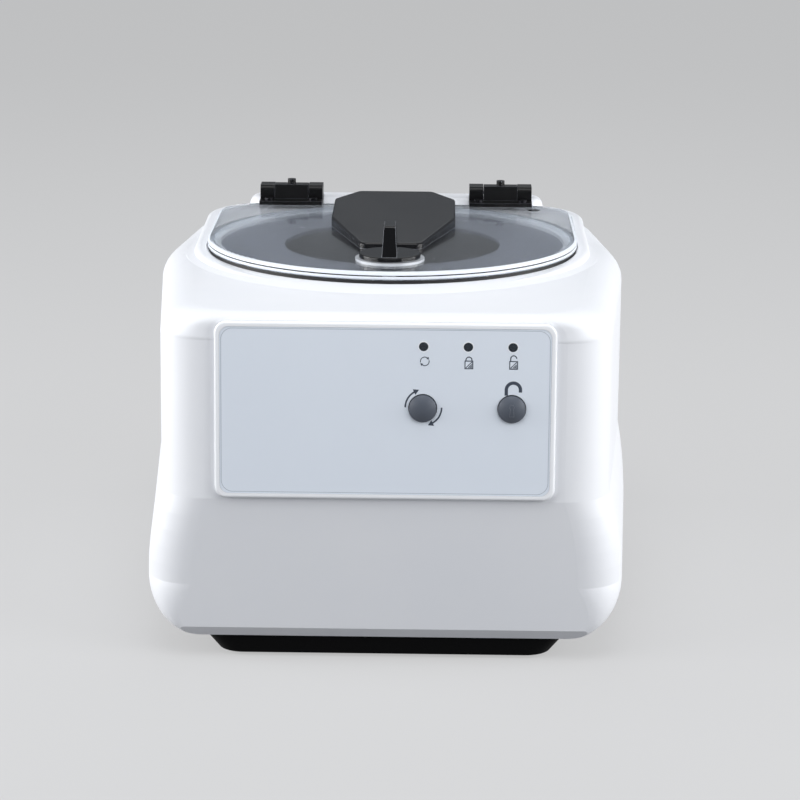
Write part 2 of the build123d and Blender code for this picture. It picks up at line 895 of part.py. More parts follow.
chamber_bowl.part.label = "chamber_bowl"
export_step(chamber_bowl.part, "parts/chamber_bowl.step")

with BuildPart() as bowl_seal:
    with BuildSketch(chamber.offset(bowl_floor_z - bowl_wall - seal_lip_thick)):
        Circle(seal_lip_r)
    extrude(amount=seal_lip_thick)
    with BuildSketch(chamber.offset(bowl_floor_z - bowl_wall)):
        Circle(seal_hole_r)
    extrude(amount=bowl_wall)
    with BuildSketch(chamber.offset(bowl_floor_z)):
        Circle(seal_lip_r)
    extrude(amount=seal_lip_thick)
    with BuildSketch(chamber.offset(bowl_floor_z - deep_cut)):
        Circle(shaft_r + 2 * face_gap)
    extrude(amount=2 * deep_cut, mode=Mode.SUBTRACT)
bowl_seal.part.label = "bowl_seal"
export_step(bowl_seal.part, "parts/bowl_seal.step")

rim_gasket = ring(gasket_outer, gasket_inner, seat_z, gasket_z, "rim_gasket")
export_step(rim_gasket, "parts/rim_gasket.step")

with BuildPart() as guard_plate:
    with BuildSketch(chamber.offset(guard_z)):
        Circle(bowl_rim_r - face_gap)
        Circle(guard_hole_r, mode=Mode.SUBTRACT)
    extrude(amount=guard_thick)
    with BuildSketch(Plane.XY.offset(guard_z)):
        with Locations((0, knob_y)):
            RectangleRounded(slot_long, slot_wide, slot_round)
    extrude(amount=guard_thick, mode=Mode.SUBTRACT)
guard_plate.part.label = "guard_plate"
export_step(guard_plate.part, "parts/guard_plate.step")

with BuildPart() as latch_strike:
    with BuildSketch(Plane.XY.offset(strike_z)):
        with Locations((0, knob_y)):
            RectangleRounded(strike_long, strike_wide, strike_round)
            RectangleRounded(slot_long, slot_wide, slot_round, mode=Mode.SUBTRACT)
    extrude(amount=strike_thick)
latch_strike.part.label = "latch_strike"
export_step(latch_strike.part, "parts/latch_strike.step")

# Lid lock: a solenoid under the deck pushes the bolt beside the latch bar
with BuildPart() as lock_bolt:
    with BuildSketch(Plane.XZ.offset(-bolt_plate_y)):
        with Locations((bolt_x, (bolt_low_z + bolt_z + bolt_thick / 2) / 2)):
            Rectangle(bolt_wide, bolt_z + bolt_thick / 2 - bolt_low_z)
    extrude(amount=-bolt_plate_thick)
    with BuildSketch(Plane.XZ.offset(-bolt_plate_y)):
        with Locations((bolt_x, bolt_z)):
            Rectangle(bolt_wide, bolt_thick)
    extrude(amount=-(bolt_plate_thick + bolt_travel + bowl_wall))
    with BuildSketch(Plane.XZ.offset(-bolt_plate_y)):
        with Locations((bolt_x, plunger_z)):
            Circle(plunger_r)
    extrude(amount=plunger_long)
lock_bolt.part.label = "lock_bolt"
export_step(lock_bolt.part, "parts/lock_bolt.step")

with BuildPart() as lock_solenoid:
    with BuildSketch(Plane.XZ.offset(-solenoid_front)):
        with Locations((bolt_x, (solenoid_low_z + solenoid_top_z) / 2)):
            RectangleRounded(solenoid_wide, solenoid_top_z - solenoid_low_z, solenoid_round)
    extrude(amount=-(solenoid_rear - solenoid_front))
    with BuildSketch(Plane.XZ.offset(-solenoid_rear)):
        with Locations((bolt_x, plunger_z)):
            Circle(plunger_r + slip)
    extrude(amount=plunger_bore, mode=Mode.SUBTRACT)
lock_solenoid.part.label = "lock_solenoid"
export_step(lock_solenoid.part, "parts/lock_solenoid.step")

with BuildPart() as lid_sensor:
    with BuildSketch(Plane.XY.offset(deck_z - wall - sensor_high)):
        with Locations((sensor_x, sensor_y)):
            RectangleRounded(sensor_wide, sensor_deep, sensor_round)
    extrude(amount=sensor_high)
lid_sensor.part.label = "lid_sensor"
export_step(lid_sensor.part, "parts/lid_sensor.step")

# Hinges on the rear ridge
for side, x in (("left", -hinge_x), ("right", hinge_x)):
    with BuildPart() as bracket:
        with BuildSketch(Plane.XY.offset(hinge_seat_z)):
            with Locations((x, (hinge_front + hinge_foot_rear) / 2)):
                Rectangle(hinge_wide, hinge_foot_rear - hinge_front)
        extrude(amount=hinge_foot_thick)
        with BuildSketch(Plane.YZ.offset(x - hinge_wide / 2)) as knuckle:
            with Locations(((hinge_front + hinge_rear) / 2, (hinge_seat_z + hinge_top) / 2)):
                Rectangle(hinge_rear - hinge_front, hinge_top - hinge_seat_z)
            fillet(knuckle.vertices().group_by(Axis.Y)[-1], hinge_corner)
        extrude(amount=knuckle_wide)
        mirror(about=Plane.YZ.offset(x))
        with BuildSketch(Plane.YZ.offset(x - hinge_wide / 2)):
            with Locations((pin_y, pin_z)):
                Circle(pin_r + run_gap)
        extrude(amount=hinge_wide, mode=Mode.SUBTRACT)
        with BuildSketch(Plane.XZ.offset(-hinge_front)):
            with Locations(*bracket_screws_at):
                Circle(bracket_screw_r + slip)
        extrude(amount=-(hinge_foot_rear - hinge_front), mode=Mode.SUBTRACT)
        with BuildSketch(Plane.XZ.offset(-hinge_front)):
            with Locations(*bracket_screws_at):
                Circle(bracket_screw_head + slip)
        extrude(amount=-bracket_screw_sunk, mode=Mode.SUBTRACT)
    bracket.part.label = f"hinge_bracket_{side}"
    export_step(bracket.part, f"parts/hinge_bracket_{side}.step")

with BuildPart() as hinge_pins:
    for x in (-hinge_x, hinge_x):
        with BuildSketch(Plane.YZ.offset(x - hinge_wide / 2)):
            with Locations((pin_y, pin_z)):
                Circle(pin_r)
        extrude(amount=hinge_wide)
hinge_pins.part.label = "hinge_pins"
export_step(hinge_pins.part, "parts/hinge_pins.step")

with BuildPart() as hinge_bracket_screws:
    with BuildSketch(Plane.XZ.offset(-hinge_front)):
        with Locations(*bracket_screws_at):
            Circle(bracket_screw_head)
    extrude(amount=-bracket_screw_sunk)
    with BuildSketch(Plane.XZ.offset(-hinge_front)):
        with Locations(*bracket_screws_at):
            Circle(bracket_screw_r)
    extrude(amount=-(bracket_screw_end - hinge_front))
hinge_bracket_screws.part.label = "hinge_bracket_screws"
export_step(hinge_bracket_screws.part, "parts/hinge_bracket_screws.step")

# Lid and what is fixed to it
leaf_screws_at = [
    (x + shift, leaf_screw_y) for x in (-hinge_x, hinge_x) for shift in (-leaf_screw_x, leaf_screw_x)
]
with BuildPart() as lid_panel:
    add(lid_plan(Plane.XY.offset(lid_z), 0))
    extrude(amount=lid_thick)
    fillet(lid_panel.faces().sort_by(Axis.Z)[-1].edges(), lid_edge)
    with BuildSketch(Plane.XY.offset(lid_z)):
        with Locations((0, knob_y)):
            Circle(bush_r + slip)
        with Locations(*leaf_screws_at):
            Circle(leaf_screw_r + slip)
    extrude(amount=lid_thick, mode=Mode.SUBTRACT)
    with BuildSketch(Plane.XY.offset(lid_z)):
        with Locations((sensor_x, sensor_y)):
            Circle(magnet_r + slip)
    extrude(amount=magnet_thick, mode=Mode.SUBTRACT)
lid_panel.part.label = "lid_panel"
export_step(lid_panel.part, "parts/lid_panel.step")

with BuildPart() as lid_magnet:
    with BuildSketch(Plane.XY.offset(lid_z)):
        with Locations((sensor_x, sensor_y)):
            Circle(magnet_r)
    extrude(amount=magnet_thick)
lid_magnet.part.label = "lid_magnet"
export_step(lid_magnet.part, "parts/lid_magnet.step")

middle_wide = hinge_wide - 2 * (knuckle_wide + face_gap)
for side, x in (("left", -hinge_x), ("right", hinge_x)):
    with BuildPart() as leaf:
        with BuildSketch(Plane.XY.offset(lid_top)):
            with Locations((x, (leaf_front + hinge_front - lid_gap) / 2)):
                Rectangle(hinge_wide, hinge_front - lid_gap - leaf_front)
        extrude(amount=leaf_thick)
        with BuildSketch(Plane.YZ.offset(x - middle_wide / 2)):
            with BuildLine():
                Polyline(
                    (pin_y, pin_z + barrel_r),
                    (leaf_block_y, pin_z + barrel_r),
                    (hinge_front - lid_gap, lid_top + leaf_thick),
                    (hinge_front - lid_gap, lid_top),
                    (pin_y - barrel_r, lid_top),
                    (pin_y, pin_z - barrel_r),
                )
                ThreePointArc(
                    (pin_y, pin_z - barrel_r), (pin_y + barrel_r, pin_z), (pin_y, pin_z + barrel_r)
                )
            make_face()
        extrude(amount=middle_wide)
        with BuildSketch(Plane.XY.offset(pin_z)):
            with Locations((x, (leaf_block_y + pin_y) / 2)):
                Circle(bump_r)
        extrude(amount=barrel_r + bump_high)
        with BuildSketch(Plane.YZ.offset(x - hinge_wide / 2)):
            with Locations((pin_y, pin_z)):
                Circle(pin_r + run_gap)
        extrude(amount=hinge_wide, mode=Mode.SUBTRACT)
        with BuildSketch(Plane.XY.offset(lid_top)):
            with Locations(*leaf_screws_at):
                Circle(leaf_screw_r + slip)
        extrude(amount=leaf_thick, mode=Mode.SUBTRACT)
    leaf.part.label = f"hinge_leaf_{side}"
    export_step(leaf.part, f"parts/hinge_leaf_{side}.step")

with BuildPart() as leaf_screws:
    with BuildSketch(Plane.XY.offset(lid_z + face_gap)):
        with Locations(*leaf_screws_at):
            Circle(leaf_screw_r)
    extrude(amount=lid_thick + leaf_thick - face_gap)
    with BuildSketch(Plane.XY.offset(lid_top + leaf_thick)):
        with Locations(*leaf_screws_at):
            Circle(leaf_screw_head)
    extrude(amount=leaf_screw_head_high)
leaf_screws.part.label = "leaf_screws"
export_step(leaf_screws.part, "parts/leaf_screws.step")


def cover_plan(plane, grow):
    """Plan of the latch cover, narrow at the front and chamfered at the rear."""
    front, rear = cover_front - grow, cover_rear + grow
    with BuildSketch(plane) as plan:
        with BuildLine():
            Polyline(
                (-(cover_front_half + grow), front),
                (cover_front_half + grow, front),
                (cover_half + grow, cover_wide_y),
                (cover_half + grow, cover_chamfer_y),
                (cover_rear_half + grow, rear),
                (-(cover_rear_half + grow), rear),
                (-(cover_half + grow), cover_chamfer_y),
                (-(cover_half + grow), cover_wide_y),
                close=True,
            )
        make_face()
        fillet(plan.vertices(), cover_corner + grow)
    return plan.sketch


cover_slope = atan((cover_rear_high - cover_front_high) / (cover_rear - cover_front))
cover_top = Plane(
    origin=(0, cover_front, lid_top + cover_front_high),
    x_dir=(1, 0, 0),
    z_dir=(0, -sin(cover_slope), cos(cover_slope)),
)
with BuildPart() as cover_hollow:
    add(cover_plan(Plane.XY.offset(lid_top), -cover_wall))
    extrude(amount=deep_cut)
    split(bisect_by=cover_top.offset(-cover_wall), keep=Keep.BOTTOM)
with BuildPart() as latch_cover:
    add(cover_plan(Plane.XY.offset(lid_top), 0))
    extrude(amount=deep_cut)
    split(bisect_by=cover_top, keep=Keep.BOTTOM)
    fillet(latch_cover.faces().sort_by(Axis.Z)[-1].edges(), cover_edge)
    add(cover_hollow.part, mode=Mode.SUBTRACT)
latch_cover.part.label = "latch_cover"
export_step(latch_cover.part, "parts/latch_cover.step")

with BuildPart() as knob_ring:
    with BuildSketch(Plane.XY.offset(lid_top)):
        with Locations((0, knob_y)):
            Circle(ring_r)
            Circle(ring_bore, mode=Mode.SUBTRACT)
    extrude(amount=ring_thick)
knob_ring.part.label = "knob_ring"
export_step(knob_ring.part, "parts/knob_ring.step")

with BuildPart() as spindle_bush:
    with BuildSketch(Plane.XY.offset(lid_z - bush_flange_thick)):
        with Locations((0, knob_y)):
            Circle(bush_flange_r)
    extrude(amount=bush_flange_thick)
    with BuildSketch(Plane.XY.offset(lid_z)):
        with Locations((0, knob_y)):
            Circle(bush_r)
    extrude(amount=lid_thick)
    with BuildSketch(Plane.XY.offset(lid_z - bush_flange_thick)):
        with Locations((0, knob_y)):
            Circle(spindle_r + run_gap)
    extrude(amount=deep_cut, mode=Mode.SUBTRACT)
spindle_bush.part.label = "spindle_bush"
export_step(spindle_bush.part, "parts/spindle_bush.step")

# Latch knob, spindle and quarter-turn bar
knob_top = knob_z + knob_thick
with BuildPart() as knob_fin:
    with BuildSketch(Plane.XZ.offset(-knob_y - fin_base_half)):
        with BuildLine():
            Polyline(
                (-fin_base_thick / 2, knob_z),
                (fin_base_thick / 2, knob_z),
                (fin_top_thick / 2, fin_top),
                (-fin_top_thick / 2, fin_top),
                close=True,
            )
        make_face()
    extrude(amount=2 * fin_base_half)
    with BuildSketch(Plane.YZ.offset(-fin_base_thick)) as fin_side:
        with BuildLine():
            Polyline(
                (knob_y - fin_base_half, knob_z),
                (knob_y + fin_base_half, knob_z),
                (knob_y + fin_base_half, knob_top),
                (knob_y + fin_top_rear, fin_top),
                (knob_y - fin_top_front, fin_top),
                (knob_y - fin_base_half, knob_top),
                close=True,
            )
        make_face()
        fillet(fin_side.vertices().group_by(Axis.Y)[-1], fin_round)
    extrude(amount=2 * fin_base_thick, mode=Mode.INTERSECT)
with BuildPart() as latch_knob:
    with BuildSketch(Plane.XY.offset(knob_z)):
        with Locations((0, knob_y)):
            Circle(knob_r)
    extrude(amount=knob_thick)
    fillet(latch_knob.faces().sort_by(Axis.Z)[-1].edges(), knob_edge)
    add(knob_fin.part)
    with BuildSketch(Plane.XY.offset(knob_z)):
        with Locations((0, knob_y)):
            Circle(stub_r + run_gap)
    extrude(amount=knob_socket, mode=Mode.SUBTRACT)
latch_knob.part.label = "latch_knob"
export_step(latch_knob.part, "parts/latch_knob.step")

with BuildPart() as latch_spindle:
    for low, high, radius in (
        (bar_z - stub_head_thick, bar_z, stub_head_r),
        (bar_z, bar_top, stub_r),
        (bar_top, knob_z, spindle_r),
        (knob_z, knob_z + knob_socket - face_gap, stub_r),
    ):
        with BuildSketch(Plane.XY.offset(low)):
            with Locations((0, knob_y)):
                Circle(radius)
        extrude(amount=high - low)
latch_spindle.part.label = "latch_spindle"
export_step(latch_spindle.part, "parts/latch_spindle.step")

with BuildPart() as latch_bar:
    with BuildSketch(Plane.XY.offset(bar_z)):
        with Locations((0, knob_y)):
            RectangleRounded(bar_long, bar_wide, bar_round)
            Circle(stub_r + run_gap, mode=Mode.SUBTRACT)
    extrude(amount=bar_thick)
latch_bar.part.label = "latch_bar"
export_step(latch_bar.part, "parts/latch_bar.step")

# Rotor: a dished plate on a hub, with six tube shields hung in it at an angle
cone_slope = tan(tilt)
cone_drop = cone_thick / cos(tilt)


def cone_z(radius):
    """Height of the dished plate's upper face at a radius."""
    return socket_z + (radius - socket_r) * cone_slope


socket_planes = []
for place in range(rotor_places):
    turn = 2 * pi * place / rotor_places
    radial = Vector(cos(turn), sin(turn), 0)
    upward = Vector(0, 0, 1)
    mouth = radial * socket_r + upward * socket_z + Vector(0, chamber_y, 0)
    axis = upward * cos(tilt) - radial * sin(tilt)
    socket_planes.append(Plane(origin=mouth, x_dir=(-sin(turn), cos(turn), 0), z_dir=axis))

shield_r = shield_bore + shield_wall
with BuildPart() as rotor_form:
    with BuildSketch(Plane.XZ):
        with BuildLine():
            Polyline(
                (shaft_r + run_gap, hub_bottom_z),
                (hub_r, hub_bottom_z),
                (hub_r, cone_z(hub_r) - cone_drop),
                (cone_rim_r, cone_z(cone_rim_r) - cone_drop),
                (cone_rim_r, cone_z(cone_rim_r)),
                (hub_r, cone_z(hub_r)),
                (hub_r, hub_top_z),
                (shaft_r + run_gap, hub_top_z),
                close=True,
            )
        make_face()
    revolve(axis=Axis.Z)
rotor_blank = Pos(0, chamber_y, 0) * rotor_form.part
with BuildPart() as rotor:
    add(rotor_blank)
    for plane in socket_planes:
        with BuildSketch(plane.offset(-deep_cut / 2)):
            Circle(shield_r + slip)
        extrude(amount=deep_cut / 2, mode=Mode.SUBTRACT)
        with BuildSketch(plane):
            Circle(shield_flange_r + slip)
        extrude(amount=cone_thick, mode=Mode.SUBTRACT)
rotor.part.label = "rotor"
export_step(rotor.part, "parts/rotor.step")

for number, plane in enumerate(socket_planes, start=1):
    with BuildPart() as shield:
        with BuildSketch(plane):
            Circle(shield_flange_r)
        extrude(amount=shield_flange_thick)
        with BuildSketch(plane):
            Circle(shield_r)
        extrude(amount=-(shield_deep - shield_r))
        with Locations(plane.offset(-(shield_deep - shield_r))):
            Sphere(shield_r)
        with BuildSketch(plane.offset(shield_flange_thick)):
            Circle(shield_bore)
        extrude(amount=-(shield_deep + shield_flange_thick - shield_r), mode=Mode.SUBTRACT)
        with Locations(plane.offset(-(shield_deep - shield_r))):
            Sphere(shield_bore, mode=Mode.SUBTRACT)
    shield.part.label = f"tube_shield_{number}"
    export_step(shield.part, f"parts/tube_shield_{number}.step")

with BuildPart() as motor_shaft:
    with BuildSketch(chamber.offset(shaft_bottom_z)):
        Circle(shaft_r)
    extrude(amount=shaft_top_z - shaft_bottom_z)
motor_shaft.part.label = "motor_shaft"
export_step(motor_shaft.part, "parts/motor_shaft.step")

with BuildPart() as rotor_nut:
    with BuildSketch(chamber.offset(hub_top_z)):
        RegularPolygon(nut_r, 6)
    extrude(amount=nut_high)
    fillet(rotor_nut.faces().sort_by(Axis.Z)[-1].edges(), nut_round)
    with BuildSketch(chamber.offset(hub_top_z)):
        Circle(shaft_r + run_gap)
    extrude(amount=shaft_top_z + face_gap - hub_top_z, mode=Mode.SUBTRACT)
rotor_nut.part.label = "rotor_nut"
export_step(rotor_nut.part, "parts/rotor_nut.step")

# Motor on its rubber-mounted plate
motor_middle = motor_z + motor_high / 2
isolator_places = [(sx * isolator_place, chamber_y + sy * isolator_place) for sx in (-1, 1) for sy in (-1, 1)]
with BuildPart() as motor_isolators:
    with BuildSketch(Plane.XY.offset(pan_inside_z)):
        with Locations(*isolator_places):
            Circle(isolator_r)
    extrude(amount=isolator_high)
    waists = motor_isolators.edges().group_by(Axis.Z)
    fillet(waists[0] + waists[-1], foot_round)
motor_isolators.part.label = "motor_isolators"
export_step(motor_isolators.part, "parts/motor_isolators.step")

with BuildPart() as motor_mount_plate:
    with BuildSketch(chamber.offset(plate_bottom_z)):
        RectangleRounded(2 * plate_half, 2 * plate_half, isolator_r)
        with PolarLocations(motor_screw_place, motor_screw_count, 180 / motor_screw_count):
            Circle(motor_screw_r + slip, mode=Mode.SUBTRACT)
    extrude(amount=plate_thick)
motor_mount_plate.part.label = "motor_mount_plate"
export_step(motor_mount_plate.part, "parts/motor_mount_plate.step")

with BuildPart() as motor_screws:
    with BuildSketch(chamber.offset(plate_bottom_z - motor_screw_head_high)):
        with PolarLocations(motor_screw_place, motor_screw_count, 180 / motor_screw_count):
            Circle(motor_screw_head)
    extrude(amount=motor_screw_head_high)
    with BuildSketch(chamber.offset(plate_bottom_z)):
        with PolarLocations(motor_screw_place, motor_screw_count, 180 / motor_screw_count):
            Circle(motor_screw_r)
    extrude(amount=plate_thick + motor_wall)
motor_screws.part.label = "motor_screws"
export_step(motor_screws.part, "parts/motor_screws.step")

low_bearing_z = motor_z + motor_wall
top_bearing_z = bell_z + bell_thick - motor_wall - bearing_high
with BuildPart() as motor_can:
    with BuildSketch(chamber.offset(motor_z)):
        Circle(motor_r)
    extrude(amount=motor_high)
    with BuildSketch(chamber.offset(low_bearing_z)):
        Circle(motor_r - motor_wall)
        Circle(bearing_r + bearing_boss, mode=Mode.SUBTRACT)
    extrude(amount=motor_high, mode=Mode.SUBTRACT)
    with BuildSketch(chamber.offset(low_bearing_z + bearing_high)):
        Circle(motor_r - motor_wall)
    extrude(amount=motor_high, mode=Mode.SUBTRACT)
    with BuildSketch(chamber.offset(low_bearing_z)):
        Circle(bearing_r)
    extrude(amount=bearing_high, mode=Mode.SUBTRACT)
    with BuildSketch(chamber.offset(motor_z)):
        with PolarLocations(motor_screw_place, motor_screw_count, 180 / motor_screw_count):
            Circle(motor_screw_r + slip)
    extrude(amount=motor_wall, mode=Mode.SUBTRACT)
motor_can.part.label = "motor_can"
export_step(motor_can.part, "parts/motor_can.step")

with BuildPart() as motor_end_bell:
    with BuildSketch(chamber.offset(bell_z)):
        Circle(motor_r)
    extrude(amount=bell_thick)
    fillet(motor_end_bell.faces().sort_by(Axis.Z)[-1].edges(), motor_wall)
    with BuildSketch(chamber.offset(top_bearing_z)):
        Circle(bearing_r + bearing_boss)
    extrude(amount=bearing_high)
    with BuildSketch(chamber.offset(top_bearing_z)):
        Circle(bearing_r)
    extrude(amount=bearing_high, mode=Mode.SUBTRACT)
    with BuildSketch(chamber.offset(bell_z)):
        Circle(shaft_r + 2 * face_gap)
    extrude(amount=2 * bell_thick, mode=Mode.SUBTRACT)
motor_end_bell.part.label = "motor_end_bell"
export_step(motor_end_bell.part, "parts/motor_end_bell.step")

with BuildPart() as motor_bearings:
    for z in (low_bearing_z, top_bearing_z):
        with BuildSketch(chamber.offset(z)):
            Circle(bearing_r - run_gap)
            Circle(shaft_r + run_gap, mode=Mode.SUBTRACT)
        extrude(amount=bearing_high)
motor_bearings.part.label = "motor_bearings"
export_step(motor_bearings.part, "parts/motor_bearings.step")

stator_r = motor_r - motor_wall - slip
with BuildPart() as motor_stator:
    with BuildSketch(chamber.offset(motor_middle - stator_high / 2)):
        Circle(stator_r)
        Circle(stator_r - stator_thick, mode=Mode.SUBTRACT)
    extrude(amount=stator_high)
motor_stator.part.label = "motor_stator"
export_step(motor_stator.part, "parts/motor_stator.step")

with BuildPart() as motor_armature:
    with BuildSketch(chamber.offset(motor_middle - armature_high / 2)):
        Circle(stator_r - stator_thick - stator_gap)
        Circle(shaft_r + run_gap, mode=Mode.SUBTRACT)
    extrude(amount=armature_high)
motor_armature.part.label = "motor_armature"
export_step(motor_armature.part, "parts/motor_armature.step")

# Power parts at the rear
rear_face_y = rear_plate_y + rear_plate_thick
with BuildPart() as rear_plate:
    with BuildSketch(Plane.XZ.offset(-rear_plate_y)):
        with Locations((0, plate_z)):
            Rectangle(plate_wide, plate_high)
        with Locations((inlet_x, plate_z)):
            Rectangle(inlet_body_wide + 2 * slip, inlet_body_high + 2 * slip, mode=Mode.SUBTRACT)
        with Locations((fuse_x, plate_z)):
            Circle(fuse_r + slip, mode=Mode.SUBTRACT)
        with Locations(*plate_corners):
            Circle(rear_screw_r + slip, mode=Mode.SUBTRACT)
    extrude(amount=-rear_plate_thick)
rear_plate.part.label = "rear_plate"
export_step(rear_plate.part, "parts/rear_plate.step")

with BuildPart() as rear_plate_screws:
    with BuildSketch(Plane.XZ.offset(-rear_face_y)):
        with Locations(*plate_corners):
            Circle(rear_screw_head)
    extrude(amount=-rear_screw_head_high)
    with BuildSketch(Plane.XZ.offset(-rear_face_y)):
        with Locations(*plate_corners):
            Circle(rear_screw_r)
    extrude(amount=rear_plate_thick + rear_screw_deep)
rear_plate_screws.part.label = "rear_plate_screws"
export_step(rear_plate_screws.part, "parts/rear_plate_screws.step")

inlet_face_y = rear_face_y + inlet_flange_thick
with BuildPart() as power_inlet:
    with BuildSketch(Plane.XZ.offset(-rear_face_y)):
        with Locations((inlet_x, plate_z)):
            RectangleRounded(inlet_flange_wide, inlet_flange_high, inlet_corner / 2)
    extrude(amount=-inlet_flange_thick)
    with BuildSketch(Plane.XZ.offset(-rear_face_y)):
        with Locations((inlet_x, plate_z)):
            Rectangle(inlet_body_wide, inlet_body_high)
    extrude(amount=inlet_body_deep)
    with BuildSketch(Plane.XZ.offset(-inlet_face_y)) as cavity:
        with Locations((inlet_x, plate_z)):
            Rectangle(inlet_cavity_wide, inlet_cavity_high)
        chamfer(cavity.vertices().group_by(Axis.Y)[-1], inlet_corner)
    extrude(amount=inlet_cavity_deep, mode=Mode.SUBTRACT)
power_inlet.part.label = "power_inlet"
export_step(power_inlet.part, "parts/power_inlet.step")

inlet_floor_y = inlet_face_y - inlet_cavity_deep
blade_places = [
    (inlet_x - blade_pitch, plate_z - blade_drop),
    (inlet_x, plate_z - blade_drop + blade_high / 2),
    (inlet_x + blade_pitch, plate_z - blade_drop),
]
with BuildPart() as inlet_pins:
    with BuildSketch(Plane.XZ.offset(-inlet_floor_y)):
        with Locations(*blade_places):
            Rectangle(blade_wide, blade_high)
    extrude(amount=-blade_long)
inlet_pins.part.label = "inlet_pins"
export_step(inlet_pins.part, "parts/inlet_pins.step")

with BuildPart() as fuse_holder:
    with BuildSketch(Plane.XZ.offset(-rear_face_y)):
        with Locations((fuse_x, plate_z)):
            Circle(fuse_cap_r)
    extrude(amount=-fuse_cap_long)
    fillet(fuse_holder.faces().sort_by(Axis.Y)[-1].edges(), fuse_round)
    with BuildSketch(Plane.XZ.offset(-rear_face_y)):
        with Locations((fuse_x, plate_z)):
            Circle(fuse_r)
    extrude(amount=fuse_long)
fuse_holder.part.label = "fuse_holder"
export_step(fuse_holder.part, "parts/fuse_holder.step")

with BuildPart() as transformer:
    with BuildSketch(Plane.XY.offset(pan_inside_z)):
        with Locations((transformer_x, transformer_y)):
            Rectangle(transformer_wide, transformer_deep)
    extrude(amount=transformer_high)
    with BuildSketch(Plane.XY.offset(pan_inside_z + coil_round)):
        with Locations((transformer_x, transformer_y)):
            RectangleRounded(transformer_wide - 2 * coil_round, transformer_deep + 2 * coil_round, coil_round)
    extrude(amount=transformer_high - 2 * coil_round)
transformer.part.label = "transformer"
export_step(transformer.part, "parts/transformer.step")

with BuildPart() as power_board:
    with BuildSketch(Plane.XY.offset(pan_inside_z + power_post)):
        with Locations((power_x, power_y)):
            Rectangle(power_wide, power_deep)
    extrude(amount=board_thick)
    with BuildSketch(Plane.XY.offset(pan_inside_z + power_post + board_thick)):
        with Locations((power_x, power_y)):
            with GridLocations(capacitor_pitch, 0, 2, 1):
                Circle(capacitor_r)
    extrude(amount=capacitor_high)
power_board.part.label = "power_board"
export_step(power_board.part, "parts/power_board.step")
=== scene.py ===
"""Looks of a clinical centrifuge: the finishes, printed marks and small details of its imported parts."""

# %% [markdown]
# A clinical centrifuge spins six small tubes at an angle, under a clear lid that is locked while it runs.
# The imported parts already have their real shape, size and place, and they never move here. This script
# gives every part the surface that its maker gives it, and adds what is too thin or too small for the
# solids: the marks printed on the front, the rings round the lamps and the domes of the buttons. It also
# adds pale bands on the lid's edge, which are painted highlights, and in a few finishes it paints light or
# shade into the colour, which is said where it happens.

# %% Load the imported parts
import json
import math

import bpy
from mathutils import Matrix, Vector


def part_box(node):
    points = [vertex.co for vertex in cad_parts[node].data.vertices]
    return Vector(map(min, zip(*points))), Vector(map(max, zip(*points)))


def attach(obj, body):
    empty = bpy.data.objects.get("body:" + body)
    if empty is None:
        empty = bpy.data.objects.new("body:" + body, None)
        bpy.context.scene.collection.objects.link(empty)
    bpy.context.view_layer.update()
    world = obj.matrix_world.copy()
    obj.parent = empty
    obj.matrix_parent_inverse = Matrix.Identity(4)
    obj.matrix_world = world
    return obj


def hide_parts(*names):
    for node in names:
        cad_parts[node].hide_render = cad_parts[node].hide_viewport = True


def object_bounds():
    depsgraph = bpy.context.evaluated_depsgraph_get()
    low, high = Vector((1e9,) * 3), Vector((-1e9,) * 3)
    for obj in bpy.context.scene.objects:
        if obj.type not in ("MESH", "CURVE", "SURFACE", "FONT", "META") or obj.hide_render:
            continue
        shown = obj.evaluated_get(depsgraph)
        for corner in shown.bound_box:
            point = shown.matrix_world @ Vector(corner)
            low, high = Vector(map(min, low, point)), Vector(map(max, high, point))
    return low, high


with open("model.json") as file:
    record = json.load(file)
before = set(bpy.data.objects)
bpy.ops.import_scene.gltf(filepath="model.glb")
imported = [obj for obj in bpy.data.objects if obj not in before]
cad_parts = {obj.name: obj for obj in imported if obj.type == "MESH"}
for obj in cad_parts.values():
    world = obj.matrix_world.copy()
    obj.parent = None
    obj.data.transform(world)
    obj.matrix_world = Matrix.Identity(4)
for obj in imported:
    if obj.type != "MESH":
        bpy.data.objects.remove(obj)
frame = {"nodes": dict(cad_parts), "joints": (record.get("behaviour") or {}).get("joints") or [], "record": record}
nodes = frame["nodes"]
solid_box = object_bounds()
mm = 0.001
bpy.context.scene.view_settings.view_transform = "Standard"
print("size in mm:", [round(side / mm, 1) for side in solid_box[1] - solid_box[0]])

# %% [markdown]
# The photograph was taken from the front, a little from the right and from above, with a long lens: the
# sides of the cabinet hardly converge. Its viewpoint was found from the lamps, the buttons, the hinges and
# the knob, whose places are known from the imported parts. The camera is turned a hair about its own axis, as
# the photograph is.

# %% Camera
frame_width = 36.0
focal_length = 121.5
eye = Vector((0.0302, -1.5988, 0.5108))
heading = math.radians(0.889)
downward = math.radians(14.174)
roll = math.radians(0.419)
bpy.ops.object.camera_add(location=eye)
camera = bpy.context.object
camera.data.sensor_width = frame_width
camera.data.lens = focal_length
aim = Matrix.Rotation(heading, 4, "Z") @ Matrix.Rotation(math.pi / 2 - downward, 4, "X")
camera.rotation_euler = (aim @ Matrix.Rotation(roll, 4, "Z")).to_euler()
bpy.context.scene.camera = camera
print("camera distance in m:", round(eye.length, 3))

# %% [markdown]
# Everything that is seen gets its look from shader nodes. Placing and wiring them by hand takes many lines,
# so one helper adds a node and sets or connects its inputs. The steps that come back often, such as noise,
# arithmetic or a mix of two colours, have a helper each that gives back the output which is wanted.


